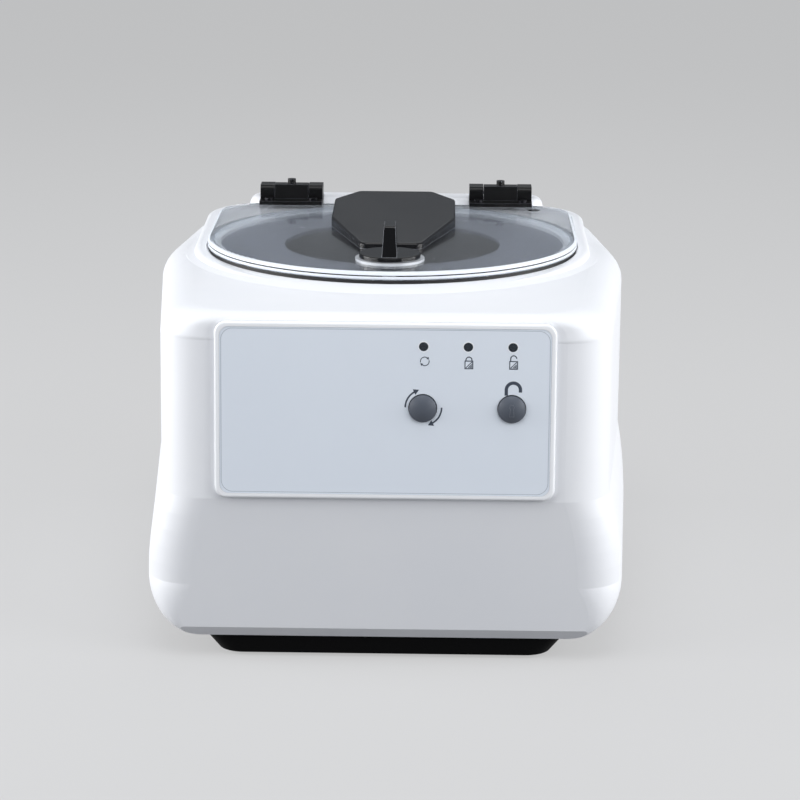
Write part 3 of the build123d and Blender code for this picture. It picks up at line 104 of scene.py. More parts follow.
# %% Node helpers
def add_node(tree, kind, inputs=None, **settings):
    """Adds a shader node. An input is a value, or the output of another node that feeds it."""
    node = tree.nodes.new("ShaderNode" + kind)
    for name, value in settings.items():
        setattr(node, name, value)
    for name, value in (inputs or {}).items():
        if isinstance(value, bpy.types.NodeSocket):
            tree.links.new(value, node.inputs[name])
        else:
            node.inputs[name].default_value = value
    return node


def object_place(tree):
    """The place on the object, in metres from the origin."""
    return add_node(tree, "TexCoord").outputs["Object"]


def noise(tree, place, scale, detail, roughness=0.5):
    """A soft noise between 0 and 1."""
    inputs = {"Vector": place, "Scale": scale, "Detail": detail, "Roughness": roughness}
    return add_node(tree, "TexNoise", inputs).outputs["Fac"]


def compute(tree, operation, *values, **settings):
    """One step of arithmetic on numbers."""
    return add_node(tree, "Math", dict(enumerate(values)), operation=operation, **settings).outputs["Value"]


def on_vectors(tree, operation, *values):
    """One step of arithmetic on vectors, with both its outputs."""
    return add_node(tree, "VectorMath", dict(enumerate(values)), operation=operation).outputs


def remap(tree, value, from_low, from_high, to_low=0.0, to_high=1.0):
    """Maps a value from one range to another, and keeps it inside."""
    limits = {1: from_low, 2: from_high, 3: to_low, 4: to_high}
    return add_node(tree, "MapRange", {"Value": value, **limits}).outputs["Result"]


def mix_colour(tree, mask, low, high):
    """A colour that goes from low to high by a mask."""
    return add_node(tree, "Mix", {"Factor": mask, 6: low, 7: high}, data_type="RGBA").outputs[2]


# %% [markdown]
# A product like this is lit softly, from large white boxes. The floor is plain and pale where it is seen,
# straight or in a mirror, but throws little light back, because light from below would fill the shade under
# the crease of the front. It glows a little, which keeps it even far from the lamps and still lets the
# cabinet's shadow fall on it.

# %% Floor
floor_size = 24.0
floor_colour = (0.60, 0.605, 0.62, 1)
floor_bounce = (0.13, 0.13, 0.135, 1)
floor_glow = 0.66
glow_share = 0.7
bpy.ops.mesh.primitive_plane_add(size=floor_size)
floor = bpy.context.object
floor.name = "floor"
floor_finish = bpy.data.materials.new("floor_paper")
floor_finish.use_nodes = True
tree = floor_finish.node_tree
paper = tree.nodes["Principled BSDF"]
paper.inputs["Roughness"].default_value = 0.9
paper.inputs["Specular IOR Level"].default_value = 0.1
ray = add_node(tree, "LightPath").outputs
mirrored = compute(tree, "MAXIMUM", ray["Is Glossy Ray"], ray["Is Transmission Ray"])
looked_at = compute(tree, "MAXIMUM", ray["Is Camera Ray"], mirrored)
tree.links.new(mix_colour(tree, looked_at, floor_bounce, floor_colour), paper.inputs["Base Color"])
glow = add_node(tree, "Emission", {"Color": (1, 1, 1, 1), "Strength": floor_glow}).outputs["Emission"]
share = compute(tree, "MULTIPLY", looked_at, glow_share)
lit = add_node(tree, "MixShader", {0: share, 1: paper.outputs["BSDF"], 2: glow})
tree.links.new(lit.outputs["Shader"], tree.nodes["Material Output"].inputs["Surface"])
floor.data.materials.append(floor_finish)
print("floor metres:", floor_size)

# %% [markdown]
# The world is a faint, cool light from all sides. Polished black plastic mirrors it, and would look grey, so
# mirrored rays see a weaker world.

# %% World
world_colour = (0.86, 0.92, 1.0, 1)
world_strength = 0.35
mirrored_strength = 0.2
world = bpy.data.worlds.new("studio")
bpy.context.scene.world = world
world.use_nodes = True
tree = world.node_tree
sky = tree.nodes["Background"]
sky.inputs["Color"].default_value = world_colour
glossy = add_node(tree, "LightPath").outputs["Is Glossy Ray"]
level = add_node(tree, "Mix", {"Factor": glossy, 2: world_strength, 3: mirrored_strength})
tree.links.new(level.outputs[0], sky.inputs["Strength"])
print("world strength:", world_strength)

# %% [markdown]
# One box hangs over the cabinet and in front of it, so that the top is the brightest face and the front,
# which leans, is darker under its crease than above it. Two boxes at each side brighten the flanks and the
# corners, and one behind lights the back.


# %% Soft boxes
def soft_box(name, place, size, watts):
    """A square lamp that looks at the middle of the cabinet."""
    bpy.ops.object.light_add(type="AREA", location=place)
    lamp = bpy.context.object
    lamp.name = name
    lamp.data.size = size
    lamp.data.energy = watts
    middle = (solid_box[0] + solid_box[1]) / 2
    lamp.rotation_euler = (middle - Vector(place)).to_track_quat("-Z", "Y").to_euler()


soft_box("top_box", (0.0, -0.65, 1.85), 1.1, 12.2)
soft_box("left_box", (-1.55, 0.0, 0.4), 0.9, 16.5)
soft_box("right_box", (1.55, 0.0, 0.4), 0.9, 12.0)
soft_box("left_front_box", (-1.35, -0.8, 0.7), 0.9, 10.8)
soft_box("right_front_box", (1.35, -0.8, 0.7), 0.9, 13.6)
soft_box("back_box", (0.0, 1.5, 1.3), 0.9, 2.5)

# %% [markdown]
# Some effects are shared by many finishes, such as the grain of moulded plastic. Each is a node group: it is
# built once with named sockets, and every finish places it with values of its own.


# %% Group helpers
def start_group(name, inputs, outputs):
    """Starts a shader node group, and gives back the group, its input sockets and its end node."""
    group = bpy.data.node_groups.new(name, "ShaderNodeTree")
    for label, kind, value in inputs:
        socket = group.interface.new_socket(label, in_out="INPUT", socket_type="NodeSocket" + kind)
        socket.default_value = value
    for label in outputs:
        group.interface.new_socket(label, in_out="OUTPUT", socket_type="NodeSocketFloat")
    return group, group.nodes.new("NodeGroupInput").outputs, group.nodes.new("NodeGroupOutput").inputs


def use_group(tree, group, inputs):
    """Places a node group in a material, with its own values."""
    node = tree.nodes.new("ShaderNodeGroup")
    node.node_tree = group
    for name, value in inputs.items():
        node.inputs[name].default_value = value
    return node.outputs


# %% [markdown]
# Moulded plastic is never quite smooth. Its tool leaves a fine grain, and the gloss drifts a little from
# place to place where the melt cooled faster. The grain could be a displaced mesh, but at a few tenths of a
# millimetre it is only ever seen as a soft sparkle, so it is a noise that drives a bump.

# %% Group: moulded skin
moulded_skin, given, result = start_group(
    "moulded_skin",
    [("Grains per metre", "Float", 2200), ("Patches per metre", "Float", 16)],
    ["Grain", "Patch"],
)
place = object_place(moulded_skin)
grain = noise(moulded_skin, place, given["Grains per metre"], 3.0, 0.62)
patch = noise(moulded_skin, place, given["Patches per metre"], 4.0, 0.55)
moulded_skin.links.new(grain, result["Grain"])
moulded_skin.links.new(patch, result["Patch"])
print("group:", moulded_skin.name)

# %% [markdown]
# The edges of a handled part are worn paler by cloths and fingers, and on black parts they also stand for
# the highlights that edges catch: this mask paints both, partly real rubbing and partly a painted highlight.
# A shader can find the edges by comparing the surface's direction with one that is rounded off over a small
# distance. Where the two differ, there is an edge. A noise breaks the mask up, so that it isn't even.

# %% Group: worn and highlit edges
worn_and_highlit_edges, given, result = start_group("worn_and_highlit_edges", [("Reach", "Float", 0.0006)], ["Mask"])
rounded = add_node(worn_and_highlit_edges, "Bevel", {"Radius": given["Reach"]}, samples=6).outputs["Normal"]
facing = add_node(worn_and_highlit_edges, "NewGeometry").outputs["Normal"]
alike = on_vectors(worn_and_highlit_edges, "DOT_PRODUCT", rounded, facing)["Value"]
differ = compute(worn_and_highlit_edges, "SUBTRACT", 1.0, alike)
rubbing_and_glint_noise = noise(worn_and_highlit_edges, object_place(worn_and_highlit_edges), 160.0, 3.0)
broken = remap(worn_and_highlit_edges, rubbing_and_glint_noise, 0.3, 0.62, 1.5, 6.0)
mask = compute(worn_and_highlit_edges, "MULTIPLY", differ, broken, use_clamp=True)
worn_and_highlit_edges.links.new(mask, result["Mask"])
print("group:", worn_and_highlit_edges.name)

# %% [markdown]
# Turned, drawn and spun metal carries fine lines round its axis. Their pattern only depends on the distance
# from the axis and on the height, so the noise reads these two numbers instead of the place itself, which
# draws every line as a full ring.

# %% Group: turned lines
turned_lines, given, result = start_group(
    "turned_lines", [("Axis", "Vector", (0, 0, 0)), ("Lines per metre", "Float", 4000)], ["Line", "Band"]
)
offset = on_vectors(turned_lines, "SUBTRACT", object_place(turned_lines), given["Axis"])["Vector"]
parts = add_node(turned_lines, "SeparateXYZ", {"Vector": offset}).outputs
flat = add_node(turned_lines, "CombineXYZ", {"X": parts["X"], "Y": parts["Y"]}).outputs["Vector"]
radius = on_vectors(turned_lines, "LENGTH", flat)["Value"]
pair = add_node(turned_lines, "CombineXYZ", {"X": radius, "Y": parts["Z"]}).outputs["Vector"]
line = noise(turned_lines, pair, given["Lines per metre"], 2.0)
band = noise(turned_lines, pair, 180.0, 3.0)
turned_lines.links.new(line, result["Line"])
turned_lines.links.new(band, result["Band"])
print("group:", turned_lines.name)

# %% [markdown]
# A lid that is wiped every day carries hair-fine scratches and a little dust. Thin lines appear where a slow
# noise crosses its middle value, and a second noise keeps them to some places only.

# %% Group: wiping marks
wiping_marks, given, result = start_group(
    "wiping_marks", [("Marks per metre", "Float", 22)], ["Scratch", "Dust"]
)
place = object_place(wiping_marks)
stretched = add_node(wiping_marks, "Mapping", {"Vector": place, "Scale": (1.0, 3.2, 1.0)}).outputs["Vector"]
wander = noise(wiping_marks, stretched, given["Marks per metre"], 5.0)
away = compute(wiping_marks, "ABSOLUTE", compute(wiping_marks, "SUBTRACT", wander, 0.5))
thin = remap(wiping_marks, away, 0.0, 0.0035, 1.0, 0.0)
kept = remap(wiping_marks, noise(wiping_marks, place, 31.0, 2.0), 0.48, 0.66)
specks = add_node(wiping_marks, "TexVoronoi", {"Vector": place, "Scale": 900.0}).outputs["Distance"]
wiping_marks.links.new(compute(wiping_marks, "MULTIPLY", thin, kept), result["Scratch"])
wiping_marks.links.new(remap(wiping_marks, specks, 0.05, 0.16, 1.0, 0.0), result["Dust"])
print("group:", wiping_marks.name)

# %% [markdown]
# Colours are easiest to judge as they look on a screen, from 0 to 255, while the shader works in amounts of
# light. One helper turns the first into the second, and another starts a finish under the name of its slot.
# The other three feed its colour, its gloss and its bump.

# %% Colour and finish helpers
finishes = {}


def seen(red, green, blue):
    """The shader's colour for a colour as it looks on a screen."""
    return (*[((v / 255 + 0.055) / 1.055) ** 2.4 for v in (red, green, blue)], 1)


def start_finish(slot, **settings):
    """A material with one Principled shader, whose plain values are set here."""
    material = bpy.data.materials.new(slot + "_finish")
    material.use_nodes = True
    shader = material.node_tree.nodes["Principled BSDF"]
    for name, value in settings.items():
        shader.inputs[name.replace("_", " ")].default_value = value
    finishes[slot] = material
    return material.node_tree, shader


def feed_colour(tree, shader, mask, low, high):
    """Base colour that goes from low to high by a mask."""
    colour = mix_colour(tree, mask, low, high)
    tree.links.new(colour, shader.inputs["Base Color"])
    return colour


def feed_roughness(tree, shader, mask, low, high):
    """Roughness that goes from low to high by a mask."""
    tree.links.new(remap(tree, mask, 0.0, 1.0, low, high), shader.inputs["Roughness"])


def feed_bump(tree, shader, height, depth):
    """A bump of a real depth in metres."""
    bump = add_node(tree, "Bump", {"Height": height, "Distance": depth, "Strength": 1.0})
    tree.links.new(bump.outputs["Normal"], shader.inputs["Normal"])


# %% [markdown]
# Most parts are moulded, in hard plastic or in rubber, and they differ in colour, gloss and grain. One
# function makes them all: it mixes two near colours by the slow patches, lets the gloss drift with them and
# raises the grain. Where asked, it paints the edges paler, which is partly rubbing by hands and partly a
# painted highlight.


# %% Moulded finish
def moulded(slot, colour, patch_colour, gloss, grains, depth, edge_wear_and_highlight=None, **settings):
    """A moulded plastic or rubber. gloss is the least and most roughness, edge_wear_and_highlight the colour and
    reach of paler edges, partly rubbed and partly painted highlight.
    """
    tree, shader = start_finish(slot, **settings)
    skin = use_group(tree, moulded_skin, {"Grains per metre": grains})
    body = feed_colour(tree, shader, skin["Patch"], colour, patch_colour)
    feed_roughness(tree, shader, skin["Patch"], *gloss)
    feed_bump(tree, shader, skin["Grain"], depth)
    if edge_wear_and_highlight:
        wear_and_highlight_colour, reach = edge_wear_and_highlight
        # Paler edges: partly rubbing, partly a painted highlight.
        edge = use_group(tree, worn_and_highlit_edges, {"Reach": reach})["Mask"]
        feed_colour(tree, shader, edge, body, wear_and_highlight_colour)


# %% [markdown]
# The cabinet is white moulded plastic with a satin skin, a little cool in tone. The bezel round the panel is
# the same white, moulded in a polished tool, so it is smoother and its rim draws a bright line. The ring
# under the knob is paler than its surroundings and glossy.

# %% White plastics
moulded(
    "housing_white", seen(240, 241, 244), seen(233, 235, 240), (0.36, 0.5), 2600, 0.00003,
    Specular_IOR_Level=0.45,
)
moulded(
    "bezel_white", seen(248, 249, 252), seen(243, 245, 249), (0.2, 0.3), 1800, 0.00001,
    Coat_Weight=0.4,
)
moulded(
    "ring_pale", seen(214, 217, 222), seen(200, 204, 210), (0.16, 0.3), 1500, 0.00001,
    Coat_Weight=0.5,
)
print("finishes:", len(finishes))

# %% [markdown]
# The base, the hinges, the latch cover and the knob are black, and each in its own way. The base is coarse
# and matt, the hinges are satin, and the cover and the knob come from polished tools with nearly no grain.
# A black surface shows only what it reflects, so its paler edges, partly rubbing and partly painted highlight,
# draw its form.

# %% Black plastics
# The base is darker than black plastic is: its own black, and painted shade for the shadow it stands in under the
# cabinet.
moulded(
    "base_black", seen(5, 5, 6), seen(9, 9, 10), (0.5, 0.66), 1300, 0.00010,
    Specular_IOR_Level=0.06,
)
moulded(
    "hinge_black", seen(9, 9, 10), seen(15, 15, 17), (0.3, 0.44), 2400, 0.00003,
    edge_wear_and_highlight=(seen(78, 80, 86), 0.0005), Specular_IOR_Level=0.3,
)
moulded(
    "cover_black", seen(13, 13, 15), seen(22, 22, 25), (0.14, 0.26), 900, 0.00002,
    edge_wear_and_highlight=(seen(120, 123, 130), 0.0007), Specular_IOR_Level=0.36,
)
moulded(
    "knob_black", seen(8, 8, 9), seen(14, 14, 16), (0.08, 0.2), 900, 0.00001,
    edge_wear_and_highlight=(seen(170, 173, 180), 0.0004), Specular_IOR_Level=0.36,
)
moulded("switch_black", seen(22, 22, 23), seen(30, 30, 32), (0.35, 0.5), 2000, 0.00003)
print("finishes:", len(finishes))

# %% [markdown]
# The buttons are grey and satin, the feet and the motor's isolators are grey-black rubber, and the seal of
# the chamber is a soft black rubber with visible pores. Rubber scatters light at grazing angles, which a
# little sheen imitates.

# %% Buttons and rubbers
# The buttons' paler edges are partly rubbing and partly a painted highlight.
moulded(
    "button_grey", seen(90, 95, 105), seen(80, 86, 96), (0.38, 0.5), 3000, 0.00004,
    edge_wear_and_highlight=(seen(122, 128, 138), 0.0005), Specular_IOR_Level=0.3,
)
moulded("foot_rubber", seen(34, 34, 35), seen(46, 46, 47), (0.7, 0.85), 1700, 0.00012, Sheen_Weight=0.25)
moulded("seal_rubber", seen(14, 14, 15), seen(24, 24, 25), (0.6, 0.8), 1100, 0.00020, Sheen_Weight=0.15)
print("finishes:", len(finishes))

# %% [markdown]
# The film on the front is printed on its back and has a fine velvet texture, so it is matt, even and
# slightly blue. The texture is finer than the grain of the plastics, and the ink behind it is a little
# uneven.

# %% Printed film
moulded("overlay_grey", seen(229, 236, 245), seen(225, 232, 242), (0.42, 0.5), 5200, 0.00002)
print("finishes:", len(finishes))

# %% [markdown]
# Metal parts get their lines from the group above, with the spindle of the chamber as the axis. Lines only
# show when light grazes them, so they change the roughness more than the height. Plated screws and the
# solenoid are too small for lines, and a fine noise in colour and gloss is closer to zinc.

# %% Metal finish
spin_axis = Vector(next(j for j in frame["joints"] if j["name"] == "rotor_spin")["pos_m"])


def machined(slot, colour, band_colour, gloss, lines, depth):
    """A turned, drawn or ground metal with fine rings about the rotor's axis."""
    tree, shader = start_finish(slot, Metallic=1.0)
    cut = use_group(tree, turned_lines, {"Axis": spin_axis, "Lines per metre": lines})
    feed_colour(tree, shader, cut["Band"], colour, band_colour)
    feed_roughness(tree, shader, cut["Line"], *gloss)
    feed_bump(tree, shader, cut["Line"], depth)


def plated(slot, colour, patch_colour, gloss, grains, depth, metallic=1.0):
    """A plated, cast or painted metal with a fine, even grain and slow patches."""
    moulded(slot, colour, patch_colour, gloss, grains, depth, Metallic=metallic)


machined("rotor_alloy", seen(196, 198, 201), seen(182, 184, 188), (0.24, 0.46), 2600, 0.00004)
machined("shield_steel", seen(200, 201, 203), seen(186, 188, 191), (0.12, 0.26), 5200, 0.00001)
machined("bearing_steel", seen(205, 205, 207), seen(190, 190, 193), (0.14, 0.26), 6000, 0.00001)
plated("zinc_steel", seen(196, 196, 190), seen(176, 177, 176), (0.26, 0.4), 900, 0.00002)
plated("hinge_screw", seen(52, 52, 56), seen(38, 38, 41), (0.3, 0.45), 1200, 0.00003)
plated("solenoid_steel", seen(188, 178, 146), seen(168, 160, 134), (0.3, 0.44), 800, 0.00002)
plated("pin_brass", seen(214, 208, 190), seen(202, 190, 150), (0.18, 0.3), 1500, 0.00001)
plated("motor_alloy", seen(190, 192, 194), seen(172, 174, 177), (0.42, 0.6), 1900, 0.00008)
plated("motor_paint", seen(34, 34, 37), seen(46, 46, 49), (0.34, 0.48), 1500, 0.00004, metallic=0.0)
plated("guard_grey", seen(116, 122, 136), seen(108, 114, 128), (0.36, 0.48), 2400, 0.00003, metallic=0.0)
print("finishes:", len(finishes))

# %% [markdown]
# The coils are wound from enamelled copper wire, side by side. A wave along the height draws the turns, as a
# bump and as a colour that darkens between them, which is painted shade in the grooves between the turns;
# this is plenty for parts that are seen through slots.

# %% Wound copper
wire_scale = 420.0
tree, shader = start_finish("coil_copper", Metallic=1.0)
wire_inputs = {"Vector": object_place(tree), "Scale": wire_scale, "Distortion": 0.6}
turns = add_node(tree, "TexWave", wire_inputs, bands_direction="Z").outputs["Fac"]
# Darker between the turns: painted shade in the grooves.
feed_colour(tree, shader, turns, seen(98, 52, 26), seen(206, 128, 74))
feed_roughness(tree, shader, turns, 0.5, 0.26)
feed_bump(tree, shader, turns, 0.00025)
print("finishes:", len(finishes))

# %% [markdown]
# A circuit board is green lacquer over copper tracks. The tracks show as slightly lighter lines, and a brick
# pattern with wide joints gives such straight runs without any drawing.

# %% Circuit board
tree, shader = start_finish("circuit_board", Coat_Weight=0.4, Coat_Roughness=0.2)
track_inputs = {"Vector": object_place(tree), "Scale": 90.0, "Mortar Size": 0.06}
tracks = add_node(tree, "TexBrick", track_inputs).outputs["Fac"]
feed_colour(tree, shader, tracks, seen(24, 84, 46), seen(52, 122, 72))
feed_roughness(tree, shader, tracks, 0.4, 0.3)
feed_bump(tree, shader, tracks, 0.00004)
print("finishes:", len(finishes))

# %% [markdown]
# The lid is a plate of clear acrylic. Light passes it, bends at its surfaces and is mirrored at grazing
# angles, which the shader's transmission does. Rays from the lamps would be stopped by glass, so for them
# the surface is simply transparent, and the chamber under the lid stays lit. Wiping marks roughen it here
# and there.

# %% Clear lid
lid_tint = (0.955, 0.97, 0.985, 1)
lamp_light_tint = (0.93, 0.945, 0.96, 1)
tree, shader = start_finish("clear_lid", Base_Color=lid_tint, Transmission_Weight=1.0, IOR=1.49)
marks = use_group(tree, wiping_marks, {"Marks per metre": 22})
worn = compute(tree, "MAXIMUM", marks["Scratch"], marks["Dust"])
feed_roughness(tree, shader, worn, 0.05, 0.34)
through = add_node(tree, "BsdfTransparent", {"Color": lamp_light_tint}).outputs["BSDF"]
from_lamp = add_node(tree, "LightPath").outputs["Is Shadow Ray"]
either = add_node(tree, "MixShader", {0: from_lamp, 1: shader.outputs["BSDF"], 2: through})
tree.links.new(either.outputs["Shader"], tree.nodes["Material Output"].inputs["Surface"])
print("finishes:", len(finishes))

# %% [markdown]
# The lamps on the front sit behind dark, smoky lenses. With the lamps off they look nearly black, with a
# faint prism pattern in the depth and a clear gloss on top. Behind them are small lamps of clear resin.

# %% Lenses and lamps
tree, shader = start_finish(
    "lens_dark", Roughness=0.16, Specular_IOR_Level=0.25, Coat_Weight=0.4, Coat_Roughness=0.04
)
prism_inputs = {"Vector": object_place(tree), "Scale": 1400.0}
prisms = add_node(tree, "TexVoronoi", prism_inputs).outputs["Distance"]
feed_colour(tree, shader, prisms, seen(18, 24, 31), seen(44, 52, 62))
feed_bump(tree, shader, prisms, 0.0001)
tree, shader = start_finish("lamp_resin", Transmission_Weight=0.7, IOR=1.5)
skin = use_group(tree, moulded_skin, {"Grains per metre": 900})
feed_colour(tree, shader, skin["Patch"], seen(196, 220, 150), seen(170, 200, 130))
feed_roughness(tree, shader, skin["Patch"], 0.06, 0.16)
print("finishes:", len(finishes))

# %% [markdown]
# The marks on the front film are printed. Most people would draw them as a picture on the surface, but
# strokes of real ink stay sharp at any distance, so each mark is modelled flat and laid on the film. A
# stroke starts as a short edge. Pushing it makes a bar, and spinning it round a point makes an arc.

# %% Strokes
arc_step = 6
fewest_steps = 6


def start_plane(size):
    """A new plane at the origin, which is the only piece selected and is left open in edit mode."""
    bpy.ops.object.select_all(action="DESELECT")
    bpy.ops.mesh.primitive_plane_add(size=size)
    bpy.ops.object.mode_set(mode="EDIT")
    return bpy.context.object


def stroke_end(width):
    """The edge across a stroke, on the X axis at the origin, left open in edit mode."""
    piece = start_plane(width)
    bpy.ops.transform.resize(value=(1, 0, 1))
    bpy.ops.mesh.remove_doubles(threshold=width / 100)
    return piece


def put(piece, x, y, turn=0.0):
    """Turns and moves a piece, with its place in its mesh."""
    bpy.ops.object.mode_set(mode="OBJECT")
    piece.matrix_world = Matrix.Translation((x, y, 0)) @ Matrix.Rotation(turn, 4, "Z")
    bpy.ops.object.transform_apply(location=True, rotation=True, scale=True)
    return piece


def bar(start, end, width):
    """A straight stroke between two points."""
    piece = stroke_end(width)
    run = Vector(end) - Vector(start)
    bpy.ops.mesh.extrude_region_move(TRANSFORM_OT_translate={"value": (0, run.length, 0)})
    return put(piece, *start, math.atan2(run.y, run.x) - math.pi / 2)


def arc(middle, radius, width, start, sweep):
    """A curved stroke round a point. The angles are degrees, anticlockwise from the right."""
    piece = stroke_end(width)
    bpy.ops.transform.translate(value=(radius, 0, 0))
    steps = max(fewest_steps, round(sweep / arc_step))
    turn = spin_way * math.radians(sweep)
    bpy.ops.mesh.spin(steps=steps, angle=turn, center=(0, 0, 0), axis=(0, 0, 1))
    bpy.ops.mesh.select_all(action="SELECT")
    bpy.ops.mesh.remove_doubles(threshold=width / 100)
    return put(piece, *middle, math.radians(start))


def arrowhead(middle, radius, direction):
    """A pointed end for a stroke, which looks along a direction in degrees."""
    bpy.ops.object.select_all(action="DESELECT")
    bpy.ops.mesh.primitive_circle_add(vertices=3, radius=radius, fill_type="NGON")
    return put(bpy.context.object, *middle, math.radians(direction - 90))


spin_way = 1
trial = arc((0, 0), 10 * mm, 1 * mm, 0, 90)
spin_way = 1 if max(v.co.y for v in trial.data.vertices) > 5 * mm else -1
bpy.data.objects.remove(trial)
print("spin goes", "anticlockwise" if spin_way == 1 else "clockwise", "for a positive angle")

# %% [markdown]
# The panel leans back a little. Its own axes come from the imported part: the buttons travel square to the
# film, so their joint gives the direction outwards, and the film's box gives the middle. A mark is drawn
# flat, with its X across the panel and its Y up it, and one matrix then carries it onto the film.

# %% The panel's place
film_thick = 0.4 * mm
press = next(j for j in frame["joints"] if j["name"] == "start_press")
outward = -Vector(press["axis"]).normalized()
across = Vector((1, 0, 0))
upward = outward.cross(across)
film_low, film_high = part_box("panel_overlay")
film_middle = (film_low + film_high) / 2 + outward * (film_thick / 2)
panel = Matrix((across, upward, outward)).transposed().to_4x4()
panel.translation = film_middle


def on_panel(node):
    """The middle of a part, across and up the panel."""
    low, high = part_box(node)
    spot = (low + high) / 2 - film_middle
    return Vector((spot.dot(across), spot.dot(upward)))


def onto_panel(piece, spot, rise):
    """Carries a flat piece to its spot on the panel, with its place in its mesh."""
    piece.matrix_world = panel @ Matrix.Translation((*spot, rise))
    bpy.ops.object.transform_apply(location=True, rotation=True, scale=True)


start_at = on_panel("start_button")
unlock_at = on_panel("unlock_button")
lamp_pitch = Vector((24.2 * mm, 0))
lamps_at = [on_panel("indicator_lenses") + step * lamp_pitch for step in (-1, 0, 1)]
print("buttons in mm:", [round(v / mm, 1) for v in (*start_at, *unlock_at)])

# %% [markdown]
# Printed ink is nearly flat in colour and matt, and a little uneven on a rough film. The signs are dark and
# the rings round the lamps pale. The line along the film's edge is a light grey painted shade, where the film
# meets the bezel's rim.


# %% Ink and painted edge shade
def ink_and_shade_finish(name, colour, patch_colour):
    """A thin print, and also the finish of the painted shade line along the film's edge."""
    tree, shader = start_finish(name)
    skin = use_group(tree, moulded_skin, {"Grains per metre": 5200})
    feed_colour(tree, shader, skin["Grain"], colour, patch_colour)
    feed_roughness(tree, shader, skin["Patch"], 0.42, 0.55)
    feed_bump(tree, shader, skin["Grain"], 0.00001)


ink_and_shade_finish("dark_ink", seen(52, 60, 74), seen(66, 74, 88))
ink_and_shade_finish("pale_ink", seen(243, 246, 250), seen(236, 240, 246))
# A light grey painted shade for the gap where the film meets the bezel's rim.
ink_and_shade_finish("edge_shade_ink", seen(188, 196, 206), seen(180, 188, 199))
print("finishes:", len(finishes))

# %% [markdown]
# The strokes of a mark are joined into one piece, which then gets the thickness of a print. A little of it
# is sunk into the film, so that no gap shows at a shallow angle.

# %% Lay a mark on the panel
ink_deep = 0.03 * mm
ink_high = 0.06 * mm


def joined(strokes):
    """Joins strokes into one piece."""
    bpy.ops.object.select_all(action="DESELECT")
    for stroke in strokes:
        stroke.select_set(True)
    bpy.context.view_layer.objects.active = strokes[0]
    if len(strokes) > 1:
        bpy.ops.object.join()
    return strokes[0]


def face_out():
    """Turns all faces of the open piece outwards, and leaves edit mode."""
    bpy.ops.mesh.select_all(action="SELECT")
    bpy.ops.mesh.normals_make_consistent(inside=False)
    bpy.ops.object.mode_set(mode="OBJECT")


def dress(piece, name, finish):
    """Names a piece and gives it its finish."""
    piece.name = name
    piece.data.materials.clear()
    piece.data.materials.append(finishes[finish])


def lay(name, strokes, middle, finish, body="cabinet", high=ink_high):
    """Joins the strokes of a mark, gives them a thickness and puts them on the panel."""
    mark = joined(strokes)
    bpy.ops.object.mode_set(mode="EDIT")
    bpy.ops.mesh.select_all(action="SELECT")
    bpy.ops.mesh.normals_make_consistent(inside=False)
    bpy.ops.mesh.extrude_region_move(TRANSFORM_OT_translate={"value": (0, 0, ink_deep + high)})
    face_out()
    onto_panel(mark, middle, -ink_deep)
    dress(mark, name, finish)
    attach(mark, body)


# %% [markdown]
# Round the start button run two arrows, the plain sign for turning. Both are the same stroke, half a turn
# apart: an arc that starts level with the button and ends in an arrowhead near its top.


# %% Arrows round the start button
def turning_arrows(radius, width, head, head_at, tail_at, sweep):
    """Two arrows that chase each other clockwise round the origin. The angles are degrees."""
    strokes = []
    for half_turn in (0, 180):
        strokes.append(arc((0, 0), radius, width, tail_at + half_turn, sweep))
        angle = math.radians(head_at + half_turn)
        spot = (radius * math.cos(angle), radius * math.sin(angle))
        strokes.append(arrowhead(spot, head, head_at + half_turn - 90))
    return strokes


turn_r = 9.9 * mm
turn_shift = Vector((0.4 * mm, 0.6 * mm))
turn_stroke = 0.87 * mm
turn_head = 1.95 * mm
arrows = turning_arrows(turn_r, turn_stroke, turn_head, head_at=115.5, tail_at=120, sweep=60)
lay("start_arrows", arrows, start_at + turn_shift, "dark_ink")
print("strokes:", len(arrows))

# %% [markdown]
# Over the unlock button stands an open shackle, so that the button itself reads as the body of a padlock. It
# is half a ring with two legs. The left leg reaches down to the button and the right one ends short.


# %% Shackle over the unlock button
def shackle(middle, half, width, left_leg, right_leg):
    """Half a ring with a leg at each end. A leg of no length is left out."""
    x, y = middle
    found = [arc(middle, half, width, 0, 180)]
    for side, leg in ((-1, left_leg), (1, right_leg)):
        if leg:
            found.append(bar((x + side * half, y), (x + side * half, y - leg), width))
    return found


shackle_middle = (0.7 * mm, 10.8 * mm)
shackle_half = 3.84 * mm
shackle_stroke = 1.8 * mm
strokes = shackle(shackle_middle, shackle_half, shackle_stroke, left_leg=3.1 * mm, right_leg=1.3 * mm)
lay("unlock_shackle", strokes, unlock_at, "dark_ink")
print("strokes:", len(strokes))

# %% [markdown]
# Each lamp has a small sign under it: turning arrows for running, a closed padlock for locked and an open
# one for unlocked. The body of a padlock is a square frame, made of a plane that is inset and opened, with
# slanted lines that fill its lower right corner. They end where they meet the frame.

# %% Signs under the lamps
lock_size = 4.7 * mm
lock_line = 0.5 * mm
hatch_line = 0.4 * mm
hatch_shifts = (0.0, 1.3 * mm, 2.2 * mm, 3.0 * mm)
lock_shackle_half = 1.6 * mm
lock_shackle_stroke = 0.55 * mm


